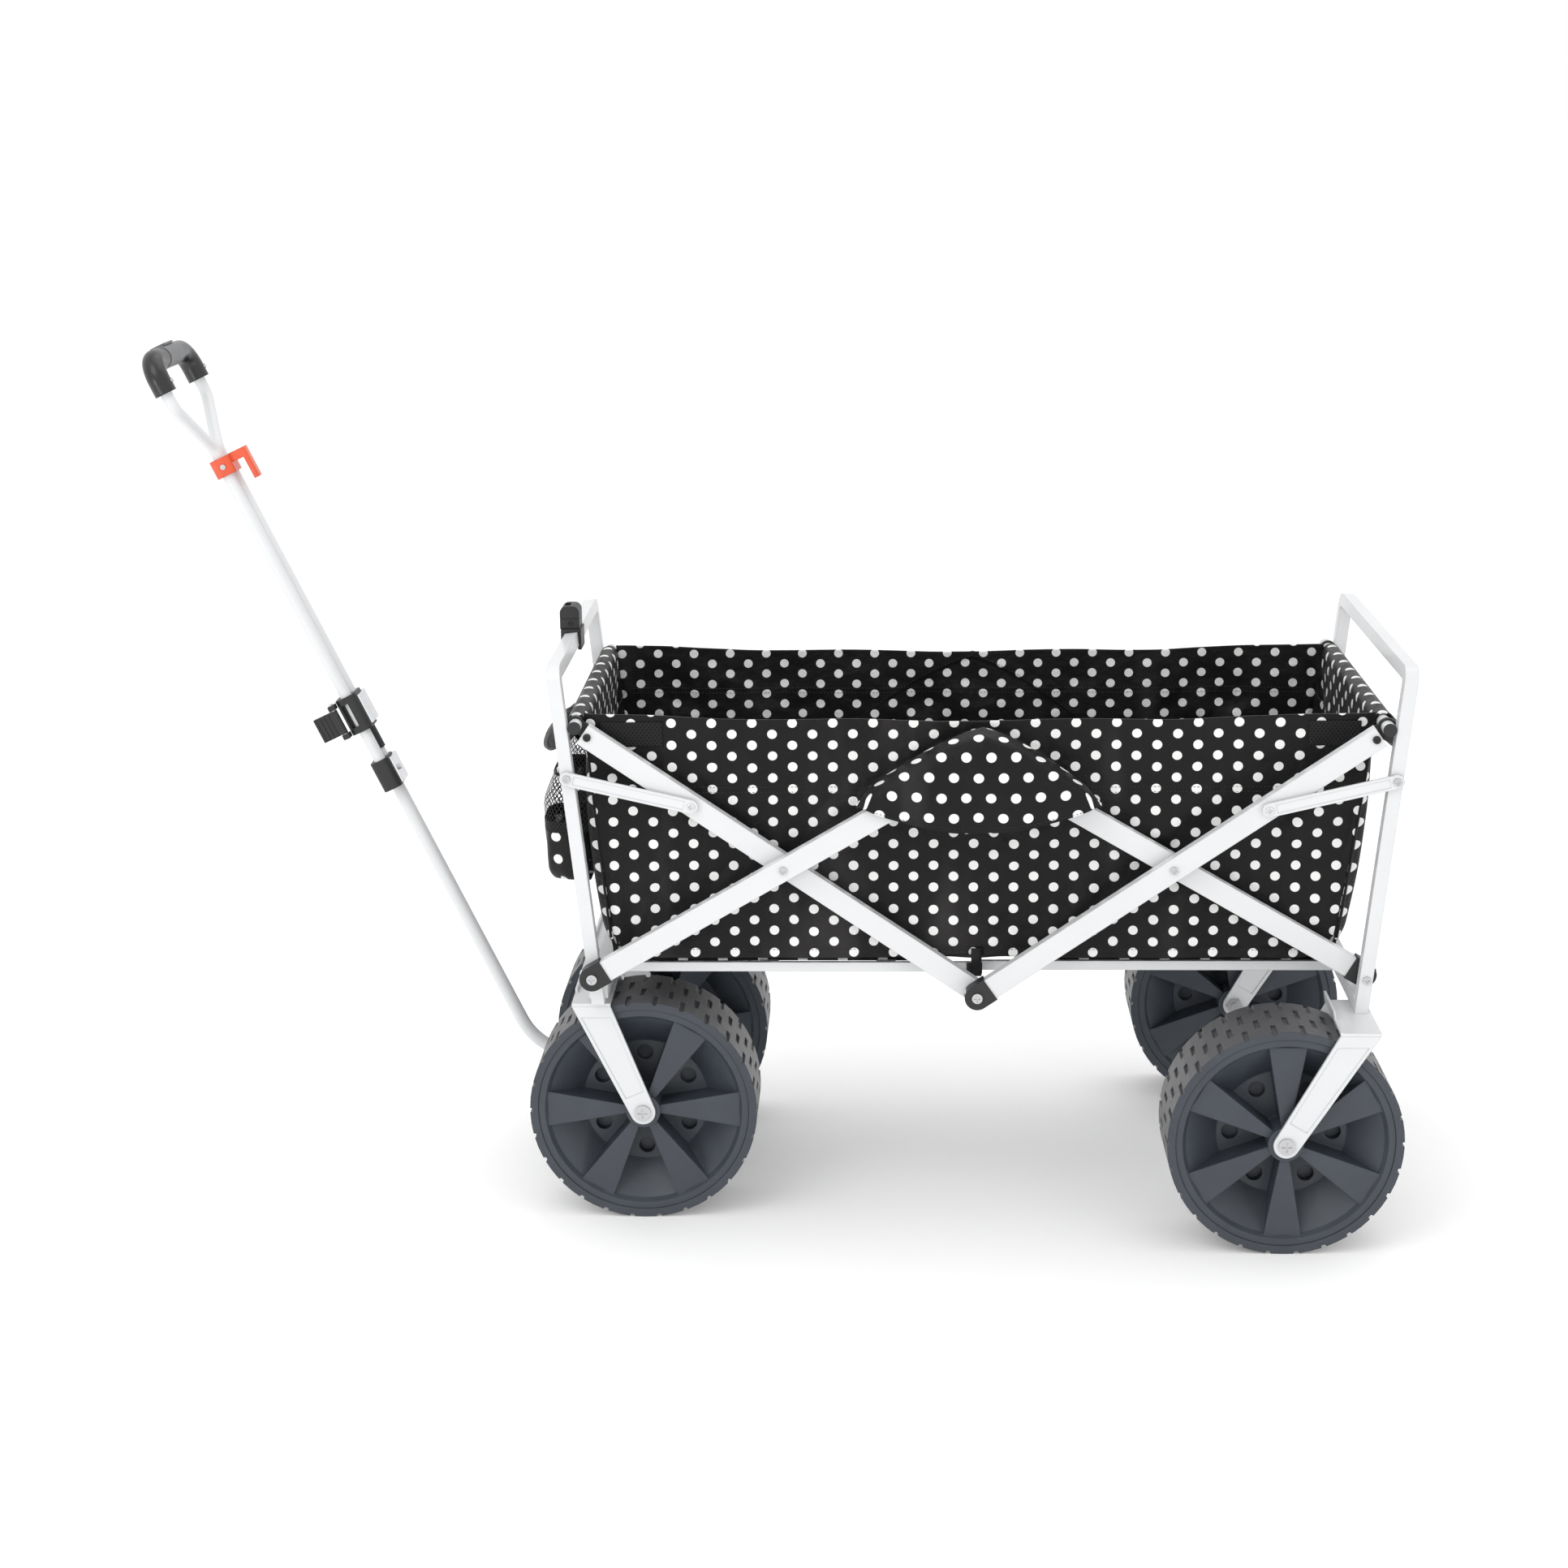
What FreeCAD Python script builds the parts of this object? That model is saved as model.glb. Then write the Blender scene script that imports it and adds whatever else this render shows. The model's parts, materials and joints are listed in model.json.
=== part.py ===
import FreeCAD, Part
import os
from math import sin, cos, tan, radians, degrees, atan2, hypot, pi

os.makedirs("parts", exist_ok=True)
V = FreeCAD.Vector

# Driving dimensions, mm.
# X runs from the pull handle (minus) to the rear (plus), Y across, Z up from the floor.
# Lengths along X are taken from the middle of the body; box_middle then shifts everything,
# so that the origin is on the floor under the middle of the overall box, handle included.
box_middle = 224.16

# wheels
wheel_r = 133.5
wheel_w = 104.0
front_axle_x = -389.0
rear_axle_x = 347.0
front_wheel_y = 147.0
rear_wheel_y = 248.0
axle_z = wheel_r
axle_r = 6.0
tread_in_r = 124.0
tread_base_r = 130.6
tread_rows = 4
tread_blocks = 26
hub_r = 20.0
web_half = 12.0
hole_ring_r = 58.5
hole_r = 9.25
hole_deep = 10.0

# body frame: two leaning loops, inner and outer layers of bars
pivot_x = 441.0
pivot_z = 308.0
bottom_joint_z = 286.0
rise = 280.0
post_x = 15.0
post_y = 16.0
post_foot_x = 436.5
loop_foot_z = 271.0
loop_top_z = 669.0
lean = degrees(atan2(42.0, 400.0))
inner_y = 212.0
outer_y = 231.0
bar_t = 14.0
bar_h = 25.0
wall = 1.5
pin_r = 3.5
gap = 0.1

# links between post and bar
link_post_x = 465.0
link_post_z = 541.0
link_reach = 141.0
link_t = 3.0

# forks
fork_top_z = 268.0
fork_t = 4.0
leg_top_w = 45.0
leg_end_r = 14.5
front_crown_x = -446.5
rear_crown_x = 425.5
leg_gap = 3.0
kingpin_x = 437.0

# basket and the folding floor under it
basket_half = 198.0
panel_half = 194.5
front_rail_y = 184.0
rear_rail_y = 178.0
rail_t = 5.5
pad_half = 175.5
pad_in = 45.0
pad_out = 425.0
pad_top_z = 319.5
pocket_back_x = -446.6
grab_root_x = 445.2
grab_reach = 66.0
grab_z = 526.0
grab_h = 42.0
basket_top_z = 604.0
basket_bottom_z = 320.0
basket_top_x = 446.0
basket_bottom_x = 419.0
cloth = 3.0
rim_x = 455.0
rim_z = 599.0
rim_r = 7.5

# pull handle, in its own frame: u along the tube from the bend, n up and rearward
handle_lean = 25.4
bend_x = -534.0
bend_r = 80.0
low_tube_r = 8.0
side_y = -17.5
grip_mid_y = -8.5
grip_half = 80.0
grip_u = 958.0
lever_n = -18.0
lever_tip_n = -46.0


def save(name, shapes):
    """Writes one sub-part, moved from the body's middle to the overall origin."""
    if not isinstance(shapes, list):
        shapes = [shapes]
    solids = []
    for s in shapes:
        solids += s.Solids
    out = solids[0] if len(solids) == 1 else Part.makeCompound(solids)
    out = out.copy()
    out.translate(V(box_middle, 0, 0))
    out.exportStep("parts/%s.step" % name)


def box(x0, x1, y0, y1, z0, z1):
    return Part.makeBox(x1 - x0, y1 - y0, z1 - z0, V(x0, y0, z0))


def rod(x, y0, y1, z, r):
    """A round bar across the wagon."""
    return Part.makeCylinder(r, y1 - y0, V(x, y0, z), V(0, 1, 0))


def side(s, a, b):
    """Orders two distances from the middle plane for the side s."""
    return (min(s * a, s * b), max(s * a, s * b))


def mirror_y(shape):
    return shape.mirror(V(0, 0, 0), V(0, 1, 0))


def mirror_x(shape):
    return shape.mirror(V(0, 0, 0), V(1, 0, 0))


def both(shape):
    return [shape, mirror_y(shape)]


def plate(points, y0, y1):
    """A flat plate in the X-Z plane between two distances across."""
    wire = Part.makePolygon([V(x, y0, z) for x, z in points] + [V(points[0][0], y0, points[0][1])])
    return Part.Face(wire).extrude(V(0, y1 - y0, 0))


def bend_path(points, radius):
    """A wire through the points with every corner rounded to the radius."""
    edges = []
    last = points[0]
    for i in range(1, len(points) - 1):
        a = (points[i - 1] - points[i]).normalize()
        b = (points[i + 1] - points[i]).normalize()
        half = a.getAngle(b) / 2
        cut = radius / tan(half)
        p = points[i] + a * cut
        q = points[i] + b * cut
        mid_dir = (a + b).normalize()
        mid = points[i] + mid_dir * (radius / sin(half) - radius)
        if (p - last).Length > 1e-6:
            edges.append(Part.makeLine(last, p))
        edges.append(Part.Arc(p, mid, q).toShape())
        last = q
    edges.append(Part.makeLine(last, points[-1]))
    return Part.Wire(edges)


def sweep(points, radius, r):
    """A solid round bar along a bent path."""
    path = bend_path(points, radius)
    start = (points[1] - points[0]).normalize()
    disc = Part.Face(Part.Wire([Part.makeCircle(r, points[0], start)]))
    return path.makePipe(disc)


# Wheels.
def wheel_disc(spoke_turn):
    """Moulded wheel: hub, web with blind round holes, six spokes a side and the outer band."""
    h = wheel_w / 2
    half = [(axle_r + 0.05, h + 2), (hub_r, h + 2), (hub_r, web_half), (74, web_half), (112, h - 8),
            (116, h - 1.5), (tread_in_r, h - 1.5)]
    points = half + [(r, -y) for r, y in reversed(half)]
    wire = Part.makePolygon([V(r, y, 0) for r, y in points] + [V(points[0][0], points[0][1], 0)])
    body = Part.Face(wire).revolve(V(0, 0, 0), V(0, 1, 0), 360)
    spokes = []
    for k in range(6):
        for s in (-1, 1):
            y0, y1 = side(s, web_half - 1, h - 5)
            outline = [(hub_r - 3, -4.5), (hub_r - 3, 4.5), (113, 21.5), (113, -21.5)]
            spoke = plate(outline, y0, y1)
            spoke.rotate(V(0, 0, 0), V(0, 1, 0), 60 * k + spoke_turn)
            spokes.append(spoke)
    body = body.fuse(spokes)
    holes = []
    for k in range(6):
        a = radians(60 * k + spoke_turn + 30)
        for s in (-1, 1):
            y0, y1 = side(s, web_half - hole_deep, web_half + 1)
            holes.append(rod(hole_ring_r * cos(a), y0, y1, hole_ring_r * sin(a), hole_r))
    return body.cut(holes).removeSplitter()


def tread_row(y0, y1, turn):
    """One ring of tread blocks: raised two thirds of the pitch, lower for the rest."""
    points = []
    step = 2 * pi / tread_blocks
    for k in range(tread_blocks):
        a = -pi / 2 + step * k + turn
        for part, r in ((-0.40, wheel_r), (0.0, wheel_r), (0.40, wheel_r), (0.44, tread_base_r),
                        (0.56, tread_base_r)):
            t = a + part * step
            points.append((r * cos(t), r * sin(t)))
    ring = plate(points, y0, y1)
    return ring.cut(rod(0, y0 - 1, y1 + 1, 0, tread_in_r + 0.05))


def wheel_tread():
    row = wheel_w / tread_rows
    step = 2 * pi / tread_blocks
    rings = []
    for i in range(tread_rows):
        y0 = -wheel_w / 2 + i * row
        rings.append(tread_row(y0, y0 + row, step / 2 * (i % 2)))
    return rings[0].fuse(rings[1:])


def at_wheel(shape, x, y):
    shape = shape.copy()
    shape.translate(V(x, y, axle_z))
    return shape


def wheels():
    tread = wheel_tread()
    for end, x, y, turn in (("front", front_axle_x, front_wheel_y, 0), ("rear", rear_axle_x, rear_wheel_y, 30)):
        disc = wheel_disc(turn)
        for name, s in (("left", -1), ("right", 1)):
            save("%s_%s_wheel" % (name, end), at_wheel(disc, x, s * y))
            save("%s_%s_tread" % (name, end), at_wheel(tread, x, s * y))


# Forks.
def leg(top_x, axle_x, y0, y1, outward):
    """A pressed fork leg: wide at the crown, rounded round the axle, with a shallow panel."""
    half = leg_top_w / 2
    run = axle_x - top_x
    drop = fork_top_z - axle_z
    ang = atan2(-drop, run)
    nx, nz = -sin(ang), cos(ang)
    if nx < 0:
        nx, nz = -nx, -nz
    outline = [(top_x - half, fork_top_z - fork_t), (top_x + half, fork_top_z - fork_t),
               (axle_x + nx * leg_end_r, axle_z + nz * leg_end_r),
               (axle_x - nx * leg_end_r, axle_z - nz * leg_end_r)]
    solid = plate(outline, y0, y1).fuse(rod(axle_x, y0, y1, axle_z, leg_end_r))
    k = 0.84
    f = 0.78
    cx = top_x + run * 0.10
    cz = fork_top_z - fork_t - drop * 0.10
    ex = top_x + run * k
    ez = fork_top_z - drop * k
    panel = [(cx - half * f, cz), (cx + half * f, cz), (ex + nx * leg_end_r * f, ez + nz * leg_end_r * f),
             (ex - nx * leg_end_r * f, ez - nz * leg_end_r * f)]
    deep = 1.0
    if outward < 0:
        pocket = plate(panel, y0 - 1, y0 + deep)
    else:
        pocket = plate(panel, y1 - deep, y1 + 1)
    solid = solid.cut(pocket)
    return solid.cut(rod(axle_x, y0 - 1, y1 + 1, axle_z, axle_r + 0.02)).removeSplitter()


def front_fork():
    h = wheel_w / 2
    out_in = front_wheel_y + h + leg_gap
    in_out = front_wheel_y - h - leg_gap
    x0 = front_crown_x - leg_top_w / 2
    x1 = front_crown_x + leg_top_w / 2
    crown = box(x0, x1, -out_in - fork_t, out_in + fork_t, fork_top_z - fork_t, fork_top_z)
    lip = box(x0, x0 + 3, -165, 165, fork_top_z - 0.5, fork_top_z + 4.8)
    crown = crown.fuse(lip)
    crown = crown.cut(Part.makeCylinder(6.05, 20, V(-kingpin_x, 0, fork_top_z - 10)))
    save("front_fork_crown", crown.removeSplitter())
    outer = leg(front_crown_x, front_axle_x, out_in, out_in + fork_t, 1)
    inner = leg(front_crown_x, front_axle_x, in_out - fork_t, in_out, -1)
    save("front_fork_legs", both(outer) + both(inner))
    end = out_in + fork_t
    save("front_axle", rod(front_axle_x, -end, end, axle_z, axle_r))
    screws = both(pan_head(front_axle_x, end, axle_z, 9.5, 3.5, 1))
    eye = 19.0
    tube = rod(front_axle_x, eye, in_out - fork_t, axle_z, 9.0)
    tube = tube.cut(rod(front_axle_x, 0, 200, axle_z, axle_r + 0.02))
    save("front_axle_fittings", screws + both(tube))


def pan_head(x, y, z, r, h, s):
    """A domed screw head with a cross slot, standing on a side face."""
    y0, y1 = side(s, y, y + h)
    head = rod(x, y0, y1, z, r)
    d = y0 if s < 0 else y1 - 1.2
    slot_a = box(x - r * 0.6, x + r * 0.6, d, d + 1.2, z - 0.9, z + 0.9)
    slot_b = box(x - 0.9, x + 0.9, d, d + 1.2, z - r * 0.6, z + r * 0.6)
    return head.cut([slot_a, slot_b])


def rear_forks():
    h = wheel_w / 2
    out_in = rear_wheel_y + h + leg_gap
    in_out = rear_wheel_y - h - leg_gap
    x0 = rear_crown_x - leg_top_w / 2
    x1 = rear_crown_x + leg_top_w / 2
    z0 = fork_top_z - fork_t
    crown = box(x0, x1, in_out - fork_t, out_in + fork_t, z0, fork_top_z)
    lip = plate([(x0, z0 + 1), (x0 + 3, z0 + 1), (x0 + 0.5, fork_top_z + 11), (x0 - 2.5, fork_top_z + 11)],
                in_out - fork_t, out_in + fork_t)
    taper = plate([(x0 - 6, fork_top_z + 1), (x0 + 6, fork_top_z + 1), (x0 + 6, fork_top_z + 14),
                   (x0 - 6, fork_top_z + 14)], out_in - 40, out_in + fork_t + 1)
    crown = crown.fuse(lip.cut(taper)).removeSplitter()
    save("rear_fork_crowns", both(crown))
    outer = leg(rear_crown_x, rear_axle_x, out_in, out_in + fork_t, 1)
    inner = leg(rear_crown_x, rear_axle_x, in_out - fork_t, in_out, -1)
    save("rear_fork_legs", both(outer) + both(inner))
    bolt = rod(rear_axle_x, in_out - fork_t - 9, out_in + fork_t, axle_z, axle_r)
    bolt = bolt.fuse(pan_head(rear_axle_x, out_in + fork_t, axle_z, 9.5, 3.5, 1))
    nut = hexagon(rear_axle_x, axle_z, 9.5, in_out - fork_t - 7, in_out - fork_t)
    nut = nut.cut(rod(rear_axle_x, 0, 400, axle_z, axle_r + 0.02))
    save("rear_axle_bolts", both(bolt) + both(nut))


def hexagon(x, z, half_flats, y0, y1):
    r = half_flats / cos(pi / 6)
    return plate([(x + r * cos(k * pi / 3), z + r * sin(k * pi / 3)) for k in range(6)], y0, y1)


# Leaning loops.
def rounded_u(y_out, z0, z1, x_half, shrink, foot):
    """The outline of an upside-down U, extruded along X; shrink is taken off each face."""
    yo = y_out - shrink
    yi = y_out - post_y + shrink
    zt = z1 - shrink
    zb = z1 - post_y + shrink
    outer = Part.makeBox(2 * x_half, 2 * yo, zt - z0 + foot, V(-x_half, -yo, z0 - foot))
    outer = round_top(outer, yo, zt, 20 - shrink, x_half)
    inner = Part.makeBox(2 * x_half + 2, 2 * yi, zb - z0 + foot + 1, V(-x_half - 1, -yi, z0 - foot - 1))
    inner = round_top(inner, yi, zb, 5 + shrink, x_half + 1)
    return outer.cut(inner)


def round_top(solid, y, z, r, x_half):
    """Rounds the two top corners of a slab that is extruded along X."""
    for s in (-1, 1):
        y0, y1 = side(s, y - r, y)
        corner = box(-x_half - 2, x_half + 2, y0, y1 + (1 if s > 0 else 0), z - r, z + 1)
        if s < 0:
            corner = box(-x_half - 2, x_half + 2, y0 - 1, y1, z - r, z + 1)
        round_bar = Part.makeCylinder(r, 2 * x_half + 8, V(-x_half - 4, s * (y - r), z - r), V(1, 0, 0))
        solid = solid.cut(corner.cut(round_bar))
    return solid


def loop(y_mid, sign, foot_z):
    """A rectangular-tube loop whose top leans outward, cut level at the foot."""
    base = foot_z - 6
    length = (loop_top_z - base) / cos(radians(lean))
    y_out = y_mid + post_y / 2
    tube = rounded_u(y_out, 0, length, post_x / 2, 0, 0)
    tube = tube.cut(rounded_u(y_out, 0, length, post_x / 2 - wall, wall, 2))
    tube.rotate(V(0, 0, 0), V(0, 1, 0), sign * lean)
    tube.translate(V(sign * post_centre(base), 0, base))
    return tube.cut(box(-700, 700, -400, 400, 0, foot_z))


def post_centre(z):
    return post_foot_x + (z - loop_foot_z) * tan(radians(lean))


def front_frame():
    u = loop(inner_y, -1, loop_foot_z)
    y = inner_y - post_y / 2
    x = -post_foot_x - 1
    beam = box(x - 11, x + 11, -y, y, 274, 292).cut(box(x - 9.2, x + 9.2, -y + 2, y - 2, 275.8, 290.2))
    beam = beam.cut(Part.makeCylinder(6.02, 60, V(-kingpin_x, 0, 250)))
    holes = []
    for s in (-1, 1):
        y0, y1 = side(s, inner_y - 12, inner_y + 12)
        holes.append(rod(-pivot_x, y0, y1, pivot_z, pin_r + 0.02))
        holes.append(rod(-link_post_x, y0, y1, link_post_z, pin_r + 0.02))
    save("front_loop", u.fuse(beam).cut(holes).removeSplitter())
    low = fork_top_z - fork_t
    pin = Part.makeCylinder(6.0, 294 - low + 5, V(-kingpin_x, 0, low - 5))
    pin = pin.fuse(Part.makeCylinder(10.0, 5, V(-kingpin_x, 0, 292.05)))
    pin = pin.fuse(Part.makeCylinder(9.0, 5, V(-kingpin_x, 0, low - 5.2)))
    ring = Part.makeCylinder(23, 5.6, V(-kingpin_x, 0, fork_top_z + 0.2))
    ring = ring.cut(Part.makeCylinder(6.05, 10, V(-kingpin_x, 0, fork_top_z - 1)))
    save("steering_kingpin", [pin.removeSplitter(), ring])
    pivots = bolts(-pivot_x, pivot_z, front_rail_y - 0.6, outer_y + bar_t / 2 + 1.6, 6.0,
                   (front_rail_y + rail_t + 0.3, inner_y - post_y / 2 - 0.1))
    rivets = bolts(-link_post_x, link_post_z, inner_y - 10, 222.9 + link_t, 4.5)
    save("front_frame_pins", pivots + rivets)
    storage_clip()


def bolts(x, z, y0, y1, head, shoulder=None):
    """A pin through a pivot on both sides, with a low head outside and at times a shoulder."""
    pin = rod(x, y0, y1, z, pin_r)
    if shoulder:
        pin = pin.fuse(rod(x, shoulder[0], shoulder[1], z, 5.5))
    pin = pin.fuse(pan_head(x, y1, z, head, 2.4, 1))
    return both(pin.removeSplitter())


def storage_clip():
    """The bracket on the front loop's top bar that parks the pull handle."""
    zt = loop_top_z
    xc = -post_centre(zt - 8)
    saddle = box(xc - 13, xc + 11, -19, 19, zt - 16 - 4.2, zt + 4.2)
    hole = box(-post_x / 2 - 0.1, post_x / 2 + 0.1, -30, 30, -post_y / 2 - 0.1, post_y / 2 + 0.1)
    hole.rotate(V(0, 0, 0), V(0, 1, 0), -lean)
    hole.translate(V(xc, 0, zt - post_y / 2))
    hole = hole.fuse(box(xc - 7, xc + 7, -30, 30, zt - 30, zt - 14))
    saddle = saddle.cut(hole)
    save("storage_clip_saddle", saddle)
    cap = box(xc - 14, xc + 9, -16, 16, zt + 4.3, zt + 31.5)
    crown = [e for e in cap.Edges if e.BoundBox.ZMin > zt + 31 and e.BoundBox.YLength > 30]
    cap = cap.makeFillet(8, crown)
    cap = cap.cut(box(xc - 9, xc - 2, -9, 9, zt + 25, zt + 40))
    seam = box(xc - 15, xc + 10, -17, 17, zt + 16, zt + 16.8).cut(box(xc - 13.4, xc + 8.4, -15.4, 15.4, zt, zt + 40))
    cap = cap.cut(seam)
    save("storage_clip_cap", [cap.removeSplitter()] + both(pan_head(xc - 2, 16.0, zt + 11.0, 3.0, 1.6, 1)))


def rear_frame():
    u = loop(outer_y, 1, fork_top_z)
    holes = []
    for s in (-1, 1):
        y0, y1 = side(s, outer_y - 12, outer_y + 12)
        holes.append(rod(pivot_x, y0, y1, pivot_z, pin_r + 0.02))
        holes.append(rod(link_post_x, y0, y1, link_post_z, pin_r + 0.02))
    y = outer_y - post_y / 2
    z = fork_top_z + 0.1
    beam = box(429.5, 445.5, -y, y, z, z + 18).cut(box(431.1, 443.9, -y + 2, y - 2, z + 1.6, z + 16.4))
    save("rear_loop", u.fuse(beam).cut(holes).removeSplitter())
    pivots = bolts(pivot_x, pivot_z, rear_rail_y - 0.6, outer_y + post_y / 2 + 0.1, 4.5,
                   (rear_rail_y + rail_t + 0.3, inner_y - bar_t / 2 - 1.8))
    rivets = bolts(link_post_x, link_post_z, outer_y - 10, 241.4 + link_t, 4.5)
    save("rear_frame_pins", pivots + rivets)


# Scissor bars.
def crossing():
    """Where the two bars of one X cross, and the top middle joint's height."""
    top = pivot_z + rise
    return (-pivot_x / 2, (top + bottom_joint_z) / 2, bottom_joint_z + rise)


def bar(x0, z0, x1, z1, y_mid, over0, over1, holes):
    """A rectangular tube between two pivots, running past each by its own amount."""
    length = hypot(x1 - x0, z1 - z0)
    ang = degrees(atan2(z1 - z0, x1 - x0))
    solid = box(-over0, length + over1, y_mid - bar_t / 2, y_mid + bar_t / 2, -bar_h / 2, bar_h / 2)
    solid = solid.cut(box(-over0 - 1, length + over1 + 1, y_mid - bar_t / 2 + wall, y_mid + bar_t / 2 - wall,
                          -bar_h / 2 + wall, bar_h / 2 - wall))
    for along, r in holes:
        solid = solid.cut(rod(along * length, y_mid - bar_t, y_mid + bar_t, 0, r))
    solid.rotate(V(0, 0, 0), V(0, 1, 0), -ang)
    solid.translate(V(x0, 0, z0))
    return solid


def cap(x0, z0, x1, z1, y_mid, back, reach, pin):
    """A black end cap: a sleeve over the tube's end, rounded about the pivot."""
    ang = degrees(atan2(z1 - z0, x1 - x0))
    t = bar_t / 2 + 1.5
    h = bar_h / 2 + 1.8
    solid = box(0, reach, y_mid - t, y_mid + t, -h, h).fuse(rod(0, y_mid - t, y_mid + t, 0, h))
    solid = solid.cut(box(-back - 0.05, reach + 1, y_mid - bar_t / 2 - 0.05, y_mid + bar_t / 2 + 0.05,
                          -bar_h / 2 - 0.05, bar_h / 2 + 0.05))
    solid = solid.cut(rod(0, y_mid - 2 * t, y_mid + 2 * t, 0, pin))
    solid.rotate(V(0, 0, 0), V(0, 1, 0), -ang)
    solid.translate(V(x0, 0, z0))
    return solid


def spacer(x, z, y0, y1):
    """A washer that keeps two layers of bars apart."""
    ring = rod(x, y0, y1, z, 9).cut(rod(x, y0 - 1, y1 + 1, z, pin_r + 0.1))
    return ring


def scissors():
    cx, cz, top_mid = crossing()
    top = pivot_z + rise
    loose = pin_r + gap
    # outer front bars: low at the front loop, up to the top middle joint
    outer_front = bar(-pivot_x, pivot_z, 0, top_mid, outer_y, 9, 12, ((0, loose), (0.5, pin_r + 0.02), (1, pin_r + 0.02)))
    save("front_outer_bars", both(outer_front))
    save("front_outer_bar_caps", both(cap(-pivot_x, pivot_z, 0, top_mid, outer_y, 9, 18, loose)))
    # inner front bars: high at the front rim, down to the bottom middle joint
    inner_front = bar(-pivot_x, top, 0, bottom_joint_z, inner_y, 6, 9, ((0, pin_r + 0.02), (0.5, loose), (1, loose)))
    save("front_inner_bars", both(inner_front))
    # outer rear bars mirror the inner front ones, inner rear bars mirror the outer front ones
    outer_rear = bar(pivot_x, top, 0, bottom_joint_z, outer_y, 6, 9, ((0, pin_r + 0.02), (0.5, pin_r + 0.02), (1, pin_r + 0.02)))
    save("rear_outer_bars", both(outer_rear))
    save("rear_outer_bar_caps", both(cap(0, bottom_joint_z, pivot_x, top, outer_y, 9, 18, pin_r + 0.02)))
    inner_rear = bar(pivot_x, pivot_z, 0, top_mid, inner_y, 9, 10.5, ((0, loose), (0.5, loose), (1, 9.2)))
    save("rear_inner_bars", both(inner_rear))
    low_cap = cap(pivot_x, pivot_z, 0, top_mid, inner_y, 9, 18, loose)
    save("rear_inner_bar_caps", both(low_cap))
    # pins through the crossings and middle joints, heads outside
    y_in = inner_y - bar_t / 2 - 1.0
    y_out = outer_y + bar_t / 2 + 0.1
    y0 = inner_y + bar_t / 2 + 0.2
    y1 = outer_y - bar_t / 2 - 0.05
    front = bolts(cx, cz, y_in, y_out, 4.5) + bolts(0, top_mid, y_in, y_out, 4.5)
    save("front_crossing_pins", front + both(spacer(cx, cz, y0, y1)))
    rear = bolts(-cx, cz, y_in, y_out, 4.5) + bolts(0, bottom_joint_z, y_in, y_out + 1.5, 6.0)
    save("rear_crossing_pins", rear + both(spacer(-cx, cz, y0, y1)))


def rims():
    """Cross tubes at the basket's ends, carried by the top ends of two bars a side."""
    top = pivot_z + rise
    for end, sign, y_mid in (("front", -1, inner_y), ("rear", 1, outer_y)):
        y_end = y_mid + bar_t / 2 + 1
        x = sign * rim_x
        tube = rod(x, -y_end, y_end, rim_z, rim_r).cut(rod(x, -y_end - 1, y_end + 1, rim_z, rim_r - 1.4))
        save("%s_rim_tube" % end, tube)
        plug = rod(x, y_end, y_end + 2.2, rim_z, rim_r).fuse(rod(x, y_end - 10, y_end + 1, rim_z, rim_r - 1.45))
        y0 = y_mid - bar_t / 2 - 4.6
        y1 = y_mid - bar_t / 2 - 1.4
        arm = plate([(sign * pivot_x, top - 9), (sign * (pivot_x - 10), top - 2), (sign * (pivot_x - 5), top + 9),
                     (x, rim_z + rim_r + 2), (x, rim_z - rim_r - 2)], y0, y1)
        bracket = arm.fuse(rod(x, y0 - 2, y1, rim_z, rim_r + 2.5))
        bracket = bracket.cut([rod(x, y0 - 9, y1 + 9, rim_z, rim_r + 0.02),
                               rod(sign * pivot_x, y0 - 9, y1 + 9, top, pin_r + 0.02)])
        rivets = bolts(sign * pivot_x, top, y0 - 0.9, y_mid + bar_t / 2 + 0.1, 4.5)
        save("%s_rim_brackets" % end, both(bracket.removeSplitter()) + rivets + both(plug.removeSplitter()))


def link_end(sign):
    """The point on the long bar where a short link ends, on the given end."""
    drop = atan2(pivot_z + rise - bottom_joint_z, pivot_x)
    return (sign * (pivot_x - link_reach * cos(drop)), pivot_z + rise - link_reach * sin(drop))


def links():
    """Short pressed links that steady the loops; the far end carries its own rivet stub."""
    for end, sign, y0 in (("front", -1, 222.6), ("rear", 1, 241.2)):
        x1, z1 = link_end(sign)
        x0, z0 = sign * link_post_x, link_post_z
        length = hypot(x1 - x0, z1 - z0)
        ang = degrees(atan2(z1 - z0, x1 - x0))
        h = 8.0
        strip = box(0, length, y0, y0 + link_t, -h, h)
        strip = strip.fuse([rod(0, y0, y0 + link_t, 0, h), rod(length, y0, y0 + link_t, 0, h)])
        groove = box(8, length - 8, y0 + link_t - 0.8, y0 + link_t + 1, -h + 3, h - 3)
        strip = strip.cut(groove)
        strip = strip.cut(rod(0, y0 - 1, y0 + 9, 0, pin_r + gap))
        strip = strip.fuse(pan_head(length, y0 + link_t - 0.5, 0, 4.5, 2.6, 1))
        strip.rotate(V(0, 0, 0), V(0, 1, 0), -ang)
        strip.translate(V(x0, 0, z0))
        save("%s_links" % end, both(strip.removeSplitter()))


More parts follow.
